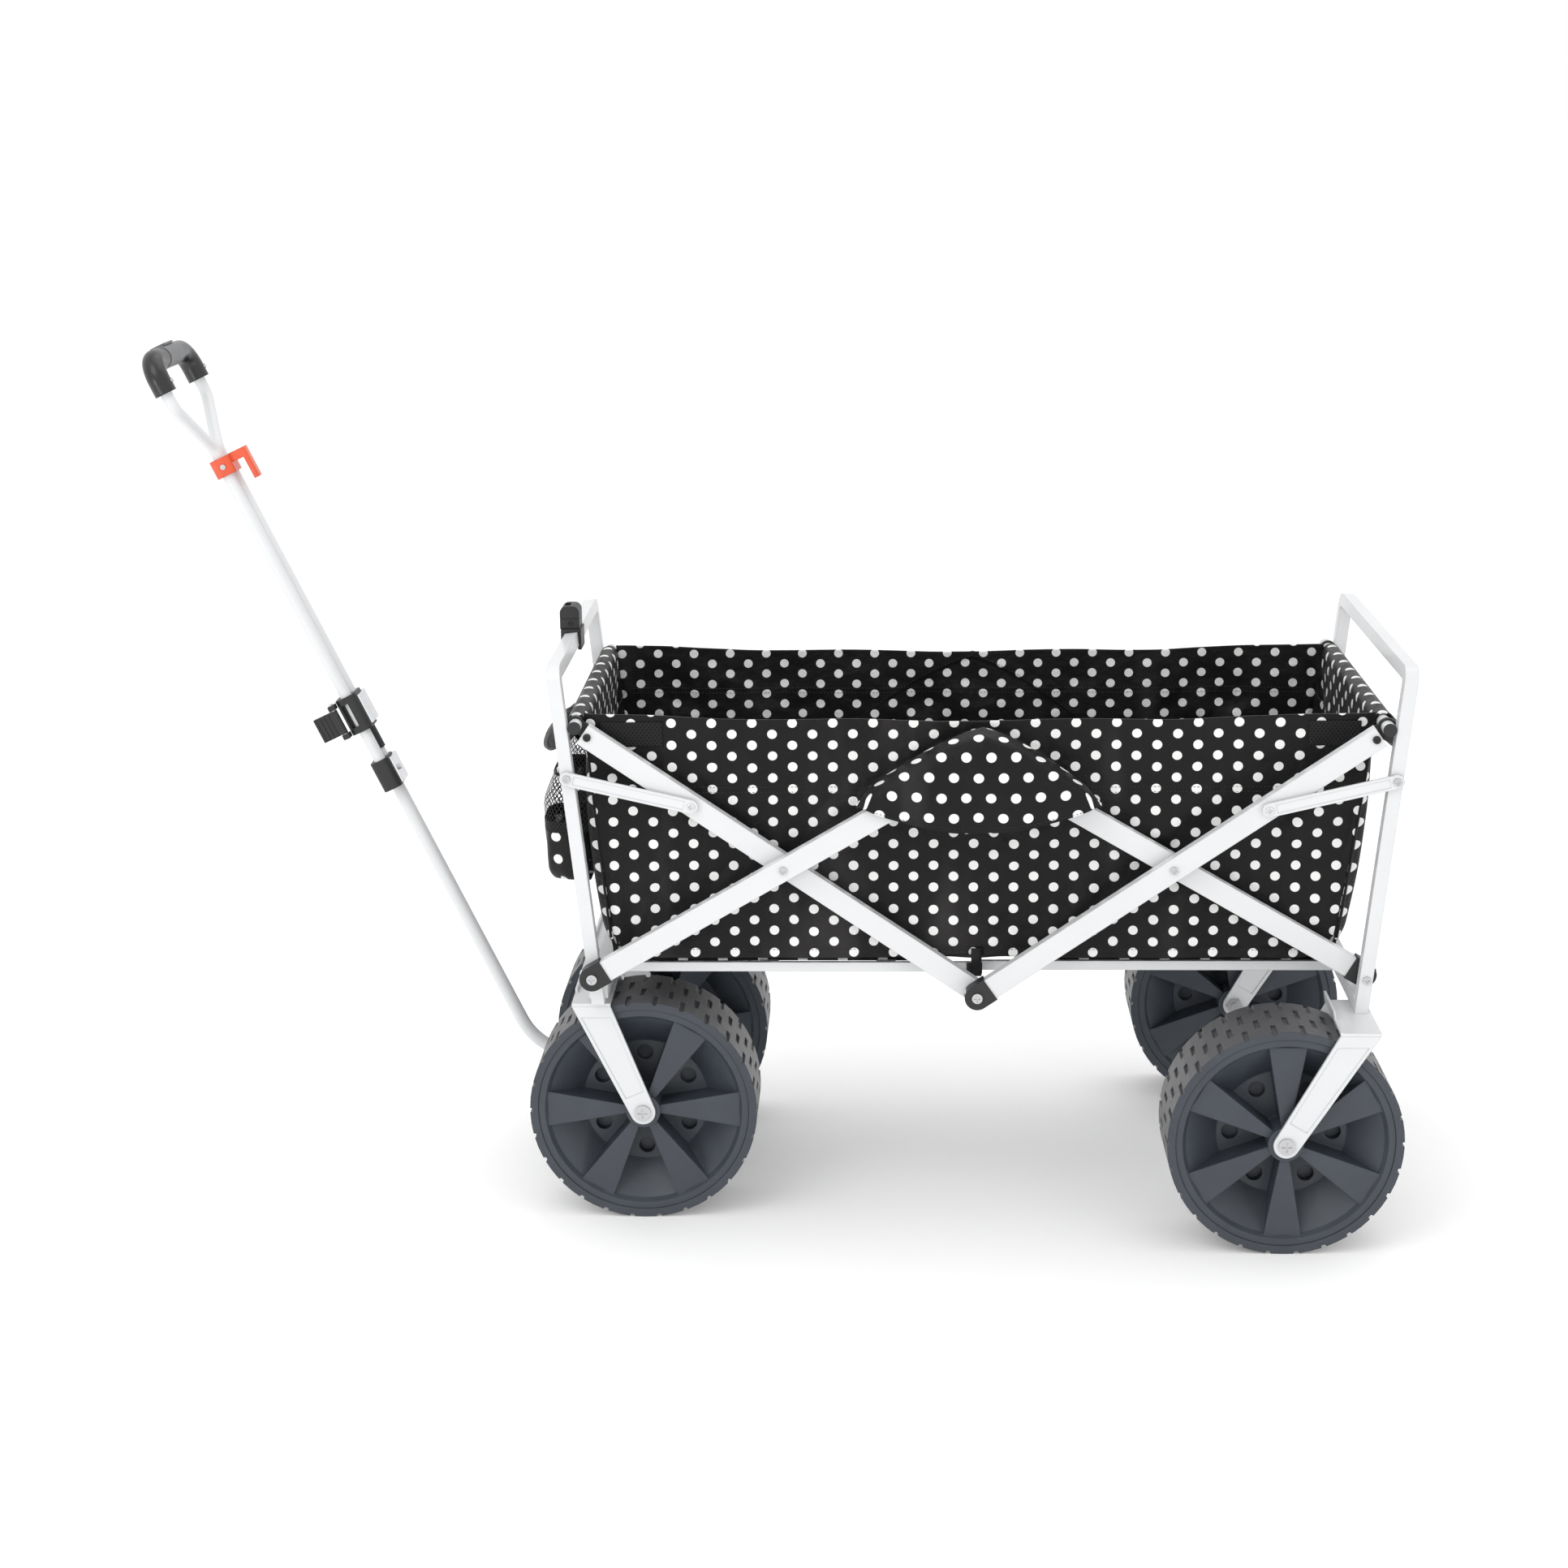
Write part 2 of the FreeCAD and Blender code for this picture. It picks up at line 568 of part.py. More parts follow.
def floor_frames():
    """Two frames under the basket, hinged at the low pivots and meeting in the middle."""
    for end, sign, y0 in (("front", -1, front_rail_y), ("rear", 1, rear_rail_y)):
        y1 = y0 + rail_t
        rail = box(0, pivot_x - 4, y0, y1, -6, 5).fuse(rod(0, y0, y1, 0, 7))
        rails = both(rail)
        slats = [box(x, x + 22, -y0 - 0.5, y0 + 0.5, -1, 4) for x in (34, 190, 326)]
        frame = rails[0].fuse([rails[1]] + slats)
        frame = frame.cut(rod(0, -y1 - 1, y1 + 1, 0, pin_r + gap))
        if sign > 0:
            frame = mirror_x(frame)
        frame.translate(V(sign * pivot_x, 0, pivot_z))
        save("%s_floor_frame" % end, frame.removeSplitter())
        x0, x1 = side(sign, pad_in, pad_out)
        save("%s_floor_pad" % end, box(x0, x1, -pad_half, pad_half, pivot_z + 4.3, pad_top_z))
    y = front_rail_y + rail_t
    save("floor_hinge_brackets", both(box(-11, 7, y + 0.1, y + 2.6, pivot_z - 8, pivot_z + 5)))
    tail = box(-6, 6, basket_half + 1.2, basket_half + 2.6, pivot_z - 12, basket_bottom_z + 11)
    tab = box(-6, 6, y + 2.8, basket_half + 1.3, pivot_z - 3, pivot_z - 1)
    save("fold_pull_straps", both(tail.fuse(tab).removeSplitter()))


# Soft goods.
def end_outline(x_top, x_bottom, z_top, z_bottom):
    """The basket seen from the side: its ends lean outward toward the rim."""
    return [(-x_top, z_top), (x_top, z_top), (x_bottom, z_bottom), (-x_bottom, z_bottom)]


def basket():
    h = panel_half
    for end, sign in (("front", -1), ("rear", 1)):
        pane = plate([(sign * basket_top_x, basket_top_z), (sign * basket_bottom_x, basket_bottom_z),
                      (sign * (basket_bottom_x - cloth), basket_bottom_z),
                      (sign * (basket_top_x - cloth), basket_top_z)], -h, h)
        pane = pane.fuse(rod(sign * rim_x, -h, h, rim_z, rim_r + 3.0))
        save("basket_%s_end" % end, pane.cut(rod(sign * rim_x, -h - 1, h + 1, rim_z, rim_r + 0.35)))
    wall_out = end_outline(basket_top_x, basket_bottom_x, basket_top_z, basket_bottom_z)
    wall = plate(wall_out, basket_half - cloth, basket_half)
    hem_x = basket_bottom_x - cloth - 1
    hem = box(-hem_x, hem_x, pad_half + 1, basket_half - 1, basket_bottom_z, basket_bottom_z + 2)
    flap = plate([(-137, 516), (-110, 497), (-60, 484), (0, 480), (60, 484), (110, 497), (137, 516), (80, 556),
                  (45, 584), (20, 600), (0, 604), (-20, 600), (-45, 584), (-80, 556)], 243.0, 245.5)
    save("basket_side_walls", both(wall.fuse(hem).removeSplitter()) + both(flap))
    save("floor_centre_strip", box(-pad_in + 1, pad_in - 1, -pad_half, pad_half, pad_top_z - 2.5, pad_top_z))
    pockets()
    for end, sign in (("front", -1), ("rear", 1)):
        save("%s_grab_strap" % end, grab_strap(sign))


def pocket_outline(x0, x1, y0, y1, z0, z1, r):
    body = box(x0, x1, y0, y1, z0, z1)
    edges = [e for e in body.Edges if abs(e.BoundBox.XMax - x0) < 1e-6 and abs(e.BoundBox.XMin - x0) < 1e-6
             and e.BoundBox.ZLength > 1]
    body = body.makeFillet(r, edges)
    low = [e for e in body.Edges if e.BoundBox.ZMax < z0 + 1e-6 and e.BoundBox.XMax < x1 - 1e-6]
    try:
        return body.makeFillet(12, low)
    except Part.OCCError:
        return body


def pockets():
    """Two open cup pockets on the front end."""
    t = 2.0
    cups = []
    for s in (-1, 1):
        y0, y1 = side(s, 72, 166)
        full = pocket_outline(-503, pocket_back_x, y0, y1, 402, 545, 22)
        hollow = pocket_outline(-503 + t, pocket_back_x - t, y0 + t, y1 - t, 402 + t, 560, 20)
        cups.append(full.cut(hollow))
    save("cup_pockets", cups)


def grab_strap(sign):
    """A padded webbing loop across an end, standing off in the middle."""
    n = 12
    half = 70.0
    outer = []
    inner = []
    for k in range(n + 1):
        y = -half + 2 * half * k / n
        bulge = max(cos(pi * y / (2 * half)), 0.0) ** 0.7
        outer.append((sign * (grab_root_x + 5 + (grab_reach - 5) * bulge), y))
        inner.append((sign * (grab_root_x + (grab_reach - 5) * bulge), y))
    ring = outer + list(reversed(inner))
    wire = Part.makePolygon([V(x, y, grab_z) for x, y in ring + ring[:1]])
    return Part.Face(wire).extrude(V(0, 0, grab_h))


# Pull handle.
def on_handle(shape):
    """Moves a shape from the handle's own upright frame to where it leans."""
    shape = shape.copy()
    shape.rotate(V(0, 0, 0), V(0, 1, 0), -handle_lean)
    shape.translate(V(bend_x, 0, axle_z))
    return shape


def ubox(n0, n1, y0, y1, u0, u1):
    return Part.makeBox(n1 - n0, y1 - y0, u1 - u0, V(n0, y0, u0))


def rounded(solid, r):
    """Rounds the edges of a block that run along the tube."""
    edges = [e for e in solid.Edges if e.BoundBox.ZLength > 1 and e.BoundBox.XLength + e.BoundBox.YLength < 1e-6]
    return solid.makeFillet(r, edges)


def urod(n, y, u0, u1, r):
    return Part.makeCylinder(r, u1 - u0, V(n, y, u0))


def handle_lower():
    a = radians(handle_lean)
    top = V(bend_x - 528 * sin(a), 0, axle_z + 528 * cos(a))
    path = [top, V(bend_x, 0, axle_z), V(front_axle_x - 9, 0, axle_z)]
    tube = sweep(path, bend_r, low_tube_r)
    bore = sweep(path, bend_r, low_tube_r - 1.5)
    tube = tube.cut(bore)
    eye = rod(front_axle_x, -18.5, 18.5, axle_z, 13)
    tube = tube.fuse(eye).cut(rod(front_axle_x, -20, 20, axle_z, axle_r + 0.05))
    save("handle_lower_tube", tube.removeSplitter())


def branch(y, u0, reach, u1, r):
    """A tube that runs up beside the pull axis, then spreads to one leg of the grip."""
    leg_y = grip_mid_y + reach
    return sweep([V(0, y, u0), V(0, y, 838), V(0, leg_y, 900), V(0, leg_y, u1)], 26, r)


def handle_upper():
    side_tube = branch(side_y, 400, -grip_half, 945, 7.0).cut(branch(side_y, 399, -grip_half, 946, 5.6))
    main = urod(0, 0, 462, 826, 9.8).cut(urod(0, 0, 461, 822, low_tube_r + 0.35))
    main = main.fuse(branch(0, 824, grip_half, 945, 7.0)).removeSplitter()
    save("handle_upper_tubes", [on_handle(side_tube), on_handle(main)])
    save("handle_screws", grips() + clamps())


def grips():
    y0 = grip_mid_y - grip_half
    y1 = grip_mid_y + grip_half
    bar_r = 13.0
    grip = sweep([V(0, y0, 919), V(0, y0, grip_u), V(0, y1, grip_u), V(0, y1, 919)], 24, bar_r)
    grip = grip.cut([urod(0, y, 918, 945.1, 7.05) for y in (y0, y1)])
    m = grip_mid_y
    band = Part.makeCylinder(20, 64, V(0, m - 32, grip_u), V(0, 1, 0)).cut(
        Part.makeCylinder(10.5, 70, V(0, m - 35, grip_u), V(0, 1, 0)))
    save("hand_grip", on_handle(grip.cut(band)))
    insert = Part.makeCylinder(13.6, 63.6, V(0, m - 31.8, grip_u), V(0, 1, 0)).cut(
        Part.makeCylinder(10.55, 70, V(0, m - 35, grip_u), V(0, 1, 0)))
    pad = ubox(-9, 9, m - 20, m + 20, grip_u + 12, grip_u + 14.6)
    pad = pad.cut(Part.makeCylinder(13.55, 70, V(0, m - 35, grip_u), V(0, 1, 0)))
    save("hand_grip_insert", on_handle(insert.fuse(pad).removeSplitter()))
    screws = []
    for y in (y0, y1):
        screw = Part.makeCylinder(2.6, 2.2, V(bar_r - 0.6, y, 930), V(1, 0, 0))
        screws.append(on_handle(screw.cut(Part.makeCylinder(bar_r + 0.01, 40, V(0, y, 915)))))
    return screws


def clamps():
    """The hook, the two clamps and the lock lever; gives back the small screws and the lever's pin."""
    tubes = [urod(0, 0, 300, 900, 9.85), urod(0, side_y, 300, 900, 7.05)]
    hook = rounded(ubox(-12.5, 12.5, side_y - 10.5, 13.5, 804, 826), 8)
    arm = ubox(8, 30, grip_mid_y - 8, grip_mid_y + 8, 815, 826)
    finger = rounded(ubox(26, 33, grip_mid_y - 8, grip_mid_y + 8, 787, 826), 3)
    hook = hook.fuse([arm, finger]).cut(tubes)
    save("handle_hook", on_handle(hook.removeSplitter()))
    hook_screw = Part.makeCylinder(3.2, 1.8, V(2, side_y - 10.5, 815), V(0, -1, 0))
    face = side_y - 10.5
    body = rounded(ubox(-14, 13, face, 14, 462, 508), 7).cut(tubes)
    body = body.cut(ubox(-9, 0, side_y - 20, side_y - 4, 470, 500))
    ears = [ubox(lever_n - 4.5, -13.5, face - 8, face + 3, u, u + 6) for u in (463, 501)]
    lever_y = face - 4.2
    body = body.fuse(ears).cut(urod(lever_n, lever_y, 460, 510, 2.52))
    sleeve = urod(0, 0, 432, 461.8, 9.8).cut(urod(0, 0, 431, 463, low_tube_r + 0.08))
    save("upper_clamp", [on_handle(body.removeSplitter()), on_handle(sleeve)])
    band = ubox(13.1, 15.6, -20, 16.4, 466, 504).fuse(ubox(2, 15.6, 14.1, 16.4, 466, 504))
    pin = urod(lever_n, lever_y, 462, 509, 2.5)
    blade = rounded(ubox(lever_tip_n, lever_n, lever_y - 3.5, lever_y + 3.5, 470, 500), 2.5)
    blade = blade.fuse(urod(lever_n, lever_y, 470, 500, 3.8))
    n_ribs = 4
    pitch = (lever_n - lever_tip_n - 6) / n_ribs
    ribs = [ubox(lever_tip_n + 2 + pitch * k, lever_tip_n + 4 + pitch * k, lever_y - 4.5, lever_y - 3, 471, 499)
            for k in range(n_ribs)]
    blade = blade.fuse(ribs).cut(urod(lever_n, lever_y, 460, 510, 2.58))
    save("lock_lever", on_handle(blade.removeSplitter()))
    low = rounded(ubox(-12.5, 11, side_y - 9.5, 12.5, 383, 421), 7)
    low = low.cut([urod(0, 0, 300, 900, low_tube_r + 0.08), urod(0, side_y, 399.9, 900, 7.05)])
    save("lower_clamp", on_handle(low))
    plate_low = ubox(11.1, 14, -18, 15.4, 385, 419).fuse(ubox(0, 14, 12.6, 15.4, 385, 419))
    save("clamp_plates", [on_handle(band.removeSplitter()), on_handle(plate_low.removeSplitter())])
    low_screw = Part.makeCylinder(3.4, 2.4, V(14, -6, 402), V(1, 0, 0))
    return [on_handle(hook_screw), on_handle(low_screw), on_handle(pin)]


wheels()
front_fork()
rear_forks()
front_frame()
rear_frame()
scissors()
rims()
links()
floor_frames()
basket()
handle_lower()
handle_upper()
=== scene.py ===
import bpy
import json
import math
import numpy as np
from mathutils import Matrix, Vector


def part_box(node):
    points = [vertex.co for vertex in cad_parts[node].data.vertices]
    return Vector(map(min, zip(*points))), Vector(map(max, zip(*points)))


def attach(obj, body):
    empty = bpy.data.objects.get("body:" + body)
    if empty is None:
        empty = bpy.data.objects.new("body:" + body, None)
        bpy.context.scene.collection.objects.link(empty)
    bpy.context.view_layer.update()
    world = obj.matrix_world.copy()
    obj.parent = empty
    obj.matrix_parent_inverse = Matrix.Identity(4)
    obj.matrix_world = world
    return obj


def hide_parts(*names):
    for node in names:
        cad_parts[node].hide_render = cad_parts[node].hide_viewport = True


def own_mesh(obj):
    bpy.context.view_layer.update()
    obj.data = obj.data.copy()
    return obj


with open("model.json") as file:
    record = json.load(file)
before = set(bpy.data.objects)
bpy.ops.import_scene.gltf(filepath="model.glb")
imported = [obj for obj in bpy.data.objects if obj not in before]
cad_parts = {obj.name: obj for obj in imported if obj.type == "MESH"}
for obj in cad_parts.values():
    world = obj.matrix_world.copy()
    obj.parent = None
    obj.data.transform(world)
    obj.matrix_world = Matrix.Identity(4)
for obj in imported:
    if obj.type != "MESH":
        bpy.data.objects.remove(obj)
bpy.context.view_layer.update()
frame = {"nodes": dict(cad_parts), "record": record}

scene = bpy.context.scene
joints = {j["name"]: j for j in frame["record"]["behaviour"]["joints"]}
middleX = joints["bottom_middle_joint"]["pos_m"][0]

view = {"lens": 64.88, "pitch": 14.159, "yaw": 2.202, "roll": -0.63, "place": (-0.0999, -3.3134, 1.3149)}


# The look direction is turned by yaw, then tipped by pitch, and the picture is rolled about it.
def makeCamera():
    p, w, r = (math.radians(view[k]) for k in ("pitch", "yaw", "roll"))
    ahead = Vector((-math.sin(w) * math.cos(p), math.cos(w) * math.cos(p), -math.sin(p)))
    right = Vector((math.cos(w), math.sin(w), 0))
    up = right.cross(ahead)
    right, up = right * math.cos(r) + up * math.sin(r), up * math.cos(r) - right * math.sin(r)
    data = bpy.data.cameras.new("camera")
    data.lens = view["lens"]
    data.sensor_width = 36
    cam = bpy.data.objects.new("camera", data)
    turn = Matrix((right, up, -ahead)).transposed().to_4x4()
    x, y, z = view["place"]
    cam.matrix_world = Matrix.Translation((x + middleX, y, z)) @ turn
    scene.collection.objects.link(cam)
    scene.camera = cam


makeCamera()
print("camera made")

clothLook = {"pitch": 0.0269, "dot": 0.0056, "ground": (0.0085, 0.0078, 0.0080), "dots": (0.84, 0.84, 0.83),
             "weave": 0.0007, "roughness": 0.42}
paintLook = {"colour": (0.70, 0.71, 0.72), "roughness": 0.34}
wheelLook = {"disc": (0.036, 0.043, 0.054), "tread": (0.082, 0.082, 0.086)}


# Adds nodes to one tree with short calls.
class Shade:
    def __init__(self, tree):
        self.tree = tree

    def node(self, kind, **values):
        n = self.tree.nodes.new(kind)
        for k, v in values.items():
            setattr(n, k, v)
        return n

    def link(self, a, b):
        self.tree.links.new(a, b)

    def put(self, socket, value):
        if hasattr(value, "is_output") or isinstance(value, bpy.types.NodeSocket):
            self.link(value, socket)
        else:
            socket.default_value = value

    def math(self, kind, a, b=0.0, c=0.0):
        n = self.node("ShaderNodeMath", operation=kind)
        for i, v in enumerate((a, b, c)):
            self.put(n.inputs[i], v)
        return n.outputs[0]

    def ramp(self, value, low, high, to0=0.0, to1=1.0):
        n = self.node("ShaderNodeMapRange", interpolation_type="SMOOTHSTEP")
        for i, v in enumerate((value, low, high, to0, to1)):
            self.put(n.inputs[i], v)
        return n.outputs[0]

    def mix(self, factor, a, b):
        n = self.node("ShaderNodeMix", data_type="RGBA")
        self.put(n.inputs[0], factor)
        self.put(n.inputs[6], a)
        self.put(n.inputs[7], b)
        return n.outputs[2]

    def noise(self, vector, scale, detail=3.0, rough=0.5):
        n = self.node("ShaderNodeTexNoise")
        self.link(vector, n.inputs["Vector"])
        n.inputs["Scale"].default_value = scale
        n.inputs["Detail"].default_value = detail
        n.inputs["Roughness"].default_value = rough
        return n.outputs[0]

    def bump(self, height, distance, strength=1.0, normal=None):
        n = self.node("ShaderNodeBump")
        n.inputs["Strength"].default_value = strength
        n.inputs["Distance"].default_value = distance
        self.link(height, n.inputs["Height"])
        if normal:
            self.link(normal, n.inputs["Normal"])
        return n.outputs[0]


# A node group with named sockets: an input is a name, a kind and a first value, an output a name and a kind.
def newGroup(name, ins, outs):
    g = bpy.data.node_groups.new(name, "ShaderNodeTree")
    for n, kind, value in ins:
        socket = g.interface.new_socket(name=n, in_out="INPUT", socket_type=kind)
        if value is not None:
            socket.default_value = value
    for n, kind in outs:
        g.interface.new_socket(name=n, in_out="OUTPUT", socket_type=kind)
    return g, Shade(g), g.nodes.new("NodeGroupInput"), g.nodes.new("NodeGroupOutput")


# A dot wherever the nearest point of a centred lattice, one pitch high and root-three pitches wide, is close.
def dotGroup():
    g, s, i, o = newGroup("dots", [("Place", "NodeSocketVector", None), ("Pitch", "NodeSocketFloat", 0.0285),
                                   ("Radius", "NodeSocketFloat", 0.006)], [("Mask", "NodeSocketFloat")])
    split = s.node("ShaderNodeSeparateXYZ")
    s.link(i.outputs["Place"], split.inputs[0])
    wide = s.math("MULTIPLY", i.outputs["Pitch"], math.sqrt(3))
    near = []
    for shift in (0.0, 0.5):
        sides = []
        for value, period in ((split.outputs[0], wide), (split.outputs[1], i.outputs["Pitch"])):
            cell = s.math("FRACT", s.math("ADD", s.math("DIVIDE", value, period), shift))
            sides.append(s.math("MULTIPLY", s.math("SUBTRACT", cell, 0.5), period))
        squares = [s.math("MULTIPLY", v, v) for v in sides]
        near.append(s.math("SQRT", s.math("ADD", squares[0], squares[1])))
    gap = s.math("SUBTRACT", s.math("MINIMUM", near[0], near[1]), i.outputs["Radius"])
    s.link(s.ramp(gap, -0.0002, 0.0002, 1.0, 0.0), o.inputs["Mask"])
    return g


# Warp and weft: the product of two crossed rectified sine waves, one along each cloth direction, gives the
# thread height.
def weaveGroup():
    g, s, i, o = newGroup("weave", [("Place", "NodeSocketVector", None), ("Thread", "NodeSocketFloat", 0.0007)],
                          [("Height", "NodeSocketFloat")])
    split = s.node("ShaderNodeSeparateXYZ")
    s.link(i.outputs["Place"], split.inputs[0])
    waves = []
    for k in (0, 1):
        turn = s.math("DIVIDE", s.math("MULTIPLY", split.outputs[k], math.pi), i.outputs["Thread"])
        waves.append(s.math("ABSOLUTE", s.math("SINE", turn)))
    s.link(s.math("MULTIPLY", waves[0], waves[1]), o.inputs["Height"])
    return g


groups = {"dots": dotGroup(), "weave": weaveGroup()}


# A fresh material with its shader and the short calls for its tree.
def newMaterial(name):
    m = bpy.data.materials.new(name)
    m.use_nodes = True
    s = Shade(m.node_tree)
    shader = m.node_tree.nodes["Principled BSDF"]
    return m, s, shader


# Places a shared group in a material, sets or links its inputs, and gives back its only output.
def useGroup(s, name, **values):
    n = s.node("ShaderNodeGroup", node_tree=groups[name])
    for k, v in values.items():
        s.put(n.inputs[k], v)
    return n.outputs[0]


# Dotted cloth: the print over a fine weave, slanting smears of painted highlight (a lighter ground colour
# standing in for fold facets that catch the lamps), soft creases in the bump and a little sheen.
def clothMaterial(name, printed=True, tint=1.0):
    m, s, b = newMaterial(name)
    uv = s.node("ShaderNodeUVMap", uv_map="cloth").outputs[0]
    obj = s.node("ShaderNodeTexCoord").outputs["Object"]
    weave = useGroup(s, "weave", Place=uv, Thread=clothLook["weave"])
    worn = s.noise(obj, 9.0, 4.0)
    base = [c * tint for c in clothLook["ground"]] + [1]
    # Painted highlight: this lighter colour, laid on in slanting noise smears, stands in for light caught on
    # fold facets.
    lighter = [c * 3.4 for c in base[:3]] + [1]
    slant = s.node("ShaderNodeMapping")
    slant.inputs["Rotation"].default_value = (0, 0.75, 0)
    slant.inputs["Scale"].default_value = (12.0, 5.0, 3.2)
    s.link(obj, slant.inputs["Vector"])
    paintedHighlight = s.ramp(s.noise(slant.outputs[0], 1.0, 3.0, 0.45), 0.52, 0.74)
    ground = s.mix(paintedHighlight, base, lighter)
    colour = ground
    if printed:
        mask = useGroup(s, "dots", Place=uv, Pitch=clothLook["pitch"], Radius=clothLook["dot"])
        thin = s.math("MULTIPLY", mask, s.ramp(weave, -0.2, 0.5, 0.9, 1.0))
        colour = s.mix(thin, ground, list(clothLook["dots"]) + [1])
    s.put(b.inputs["Base Color"], colour)
    crease = s.noise(obj, 22.0, 5.0, 0.62)
    n1 = s.bump(crease, 0.009, 0.6)
    n2 = s.bump(weave, 0.00012, 0.5, n1)
    s.link(n2, b.inputs["Normal"])
    rough = clothLook["roughness"]
    s.put(b.inputs["Roughness"], s.ramp(worn, 0.3, 0.7, rough + 0.06, rough - 0.05))
    b.inputs["Specular IOR Level"].default_value = 0.16
    b.inputs["Sheen Weight"].default_value = 0.03
    b.inputs["Sheen Roughness"].default_value = 0.4
    return m


# Open net: crossed slanting threads, clear between them.
def netMaterial(name, pitch, share, backing):
    m, s, b = newMaterial(name)
    uv = s.node("ShaderNodeUVMap", uv_map="cloth").outputs[0]
    split = s.node("ShaderNodeSeparateXYZ")
    s.link(uv, split.inputs[0])
    lines = []
    for sign in (1.0, -1.0):
        along = s.math("ADD", split.outputs[0], s.math("MULTIPLY", split.outputs[1], 0.75 * sign))
        cell = s.math("ABSOLUTE", s.math("SUBTRACT", s.math("FRACT", s.math("DIVIDE", along, pitch)), 0.5))
        lines.append(cell)
    low = s.math("MINIMUM", lines[0], lines[1])
    thread = s.ramp(low, share * 0.42, share * 0.58, 1.0, 0.0)
    s.put(b.inputs["Roughness"], 0.6)
    b.inputs["Specular IOR Level"].default_value = 0.2
    s.link(s.bump(thread, 0.0006, 0.9), b.inputs["Normal"])
    if backing:
        s.put(b.inputs["Base Color"], s.mix(thread, (0.0015, 0.0015, 0.0015, 1), (0.016, 0.016, 0.0165, 1)))
        return m
    b.inputs["Base Color"].default_value = (0.012, 0.012, 0.012, 1)
    clear = s.node("ShaderNodeBsdfTransparent")
    blend = s.node("ShaderNodeMixShader")
    s.link(thread, blend.inputs[0])
    s.link(clear.outputs[0], blend.inputs[1])
    s.link(b.outputs[0], blend.inputs[2])
    s.link(blend.outputs[0], m.node_tree.nodes["Material Output"].inputs["Surface"])
    return m


# Painted tube: near-white, faint orange peel, edges softened, a trace of rubbed grey.
def paintMaterial():
    m, s, b = newMaterial("whitePaint")
    obj = s.node("ShaderNodeTexCoord").outputs["Object"]
    soft = s.node("ShaderNodeBevel", samples=4)
    soft.inputs["Radius"].default_value = 0.0016
    peel = s.noise(obj, 900.0, 2.0)
    s.link(s.bump(peel, 0.00004, 0.5, soft.outputs[0]), b.inputs["Normal"])
    patch = s.noise(obj, 7.0, 5.0, 0.6)
    c = paintLook["colour"]
    s.put(b.inputs["Base Color"], s.mix(s.ramp(patch, 0.3, 0.75), [*c, 1], [v * 0.96 for v in c] + [1]))
    s.put(b.inputs["Roughness"], s.ramp(patch, 0.3, 0.7, paintLook["roughness"], paintLook["roughness"] + 0.08))
    b.inputs["Coat Weight"].default_value = 0.25
    b.inputs["Coat Roughness"].default_value = 0.15
    return m


# Moulded plastic: one colour with slow mottling, a fine grain and softened edges.
def plasticMaterial(name, colour, rough, grain=0.00006, radius=0.0012, coat=0.0, scale=700.0):
    m, s, b = newMaterial(name)
    obj = s.node("ShaderNodeTexCoord").outputs["Object"]
    soft = s.node("ShaderNodeBevel", samples=4)
    soft.inputs["Radius"].default_value = radius
    fine = s.noise(obj, scale, 3.0)
    s.link(s.bump(fine, grain, 0.6, soft.outputs[0]), b.inputs["Normal"])
    slow = s.noise(obj, 14.0, 6.0, 0.65)
    lighter = [v * 1.28 for v in colour] + [1]
    s.put(b.inputs["Base Color"], s.mix(s.ramp(slow, 0.3, 0.75), [*colour, 1], lighter))
    s.put(b.inputs["Roughness"], s.ramp(slow, 0.3, 0.7, rough, rough + 0.1))
    b.inputs["Coat Weight"].default_value = coat
    return m


# The tyre's flat side faces take the disc's colour: the more a face looks along Y, the more of it.
def treadMaterial():
    m, s, b = newMaterial("treadPlastic")
    place = s.node("ShaderNodeTexCoord")
    obj = place.outputs["Object"]
    soft = s.node("ShaderNodeBevel", samples=4)
    soft.inputs["Radius"].default_value = 0.0016
    s.link(s.bump(s.noise(obj, 420.0, 3.0), 0.00006, 0.6, soft.outputs[0]), b.inputs["Normal"])
    split = s.node("ShaderNodeSeparateXYZ")
    s.link(place.outputs["Normal"], split.inputs[0])
    flat = s.ramp(s.math("ABSOLUTE", split.outputs[1]), 0.8, 0.95)
    slow = s.ramp(s.noise(obj, 14.0, 6.0, 0.65), 0.3, 0.75)
    t, d = wheelLook["tread"], wheelLook["disc"]
    top = s.mix(slow, [*t, 1], [v * 1.3 for v in t] + [1])
    edge = s.mix(slow, [*d, 1], [v * 1.28 for v in d] + [1])
    s.put(b.inputs["Base Color"], s.mix(flat, top, edge))
    s.put(b.inputs["Roughness"], s.math("ADD", s.math("MULTIPLY", slow, 0.1), 0.42))
    return m


# Plated metal: one colour that slowly darkens by a quarter, a very fine grain and softened edges.
def metalMaterial(name, colour, rough):
    m, s, b = newMaterial(name)
    obj = s.node("ShaderNodeTexCoord").outputs["Object"]
    soft = s.node("ShaderNodeBevel", samples=4)
    soft.inputs["Radius"].default_value = 0.0006
    fine = s.noise(obj, 1400.0, 2.0)
    s.link(s.bump(fine, 0.00003, 0.5, soft.outputs[0]), b.inputs["Normal"])
    b.inputs["Metallic"].default_value = 1.0
    slow = s.noise(obj, 60.0, 4.0)
    s.put(b.inputs["Base Color"], s.mix(slow, [*colour, 1], [v * 0.75 for v in colour] + [1]))
    b.inputs["Roughness"].default_value = rough
    return m


# Sewing thread: dark, with a fine grain in the bump.
def threadMaterial():
    m, s, b = newMaterial("thread")
    obj = s.node("ShaderNodeTexCoord").outputs["Object"]
    b.inputs["Base Color"].default_value = (0.03, 0.03, 0.031, 1)
    s.link(s.bump(s.noise(obj, 2600.0, 2.0), 0.0002, 0.6), b.inputs["Normal"])
    b.inputs["Roughness"].default_value = 0.55
    return m


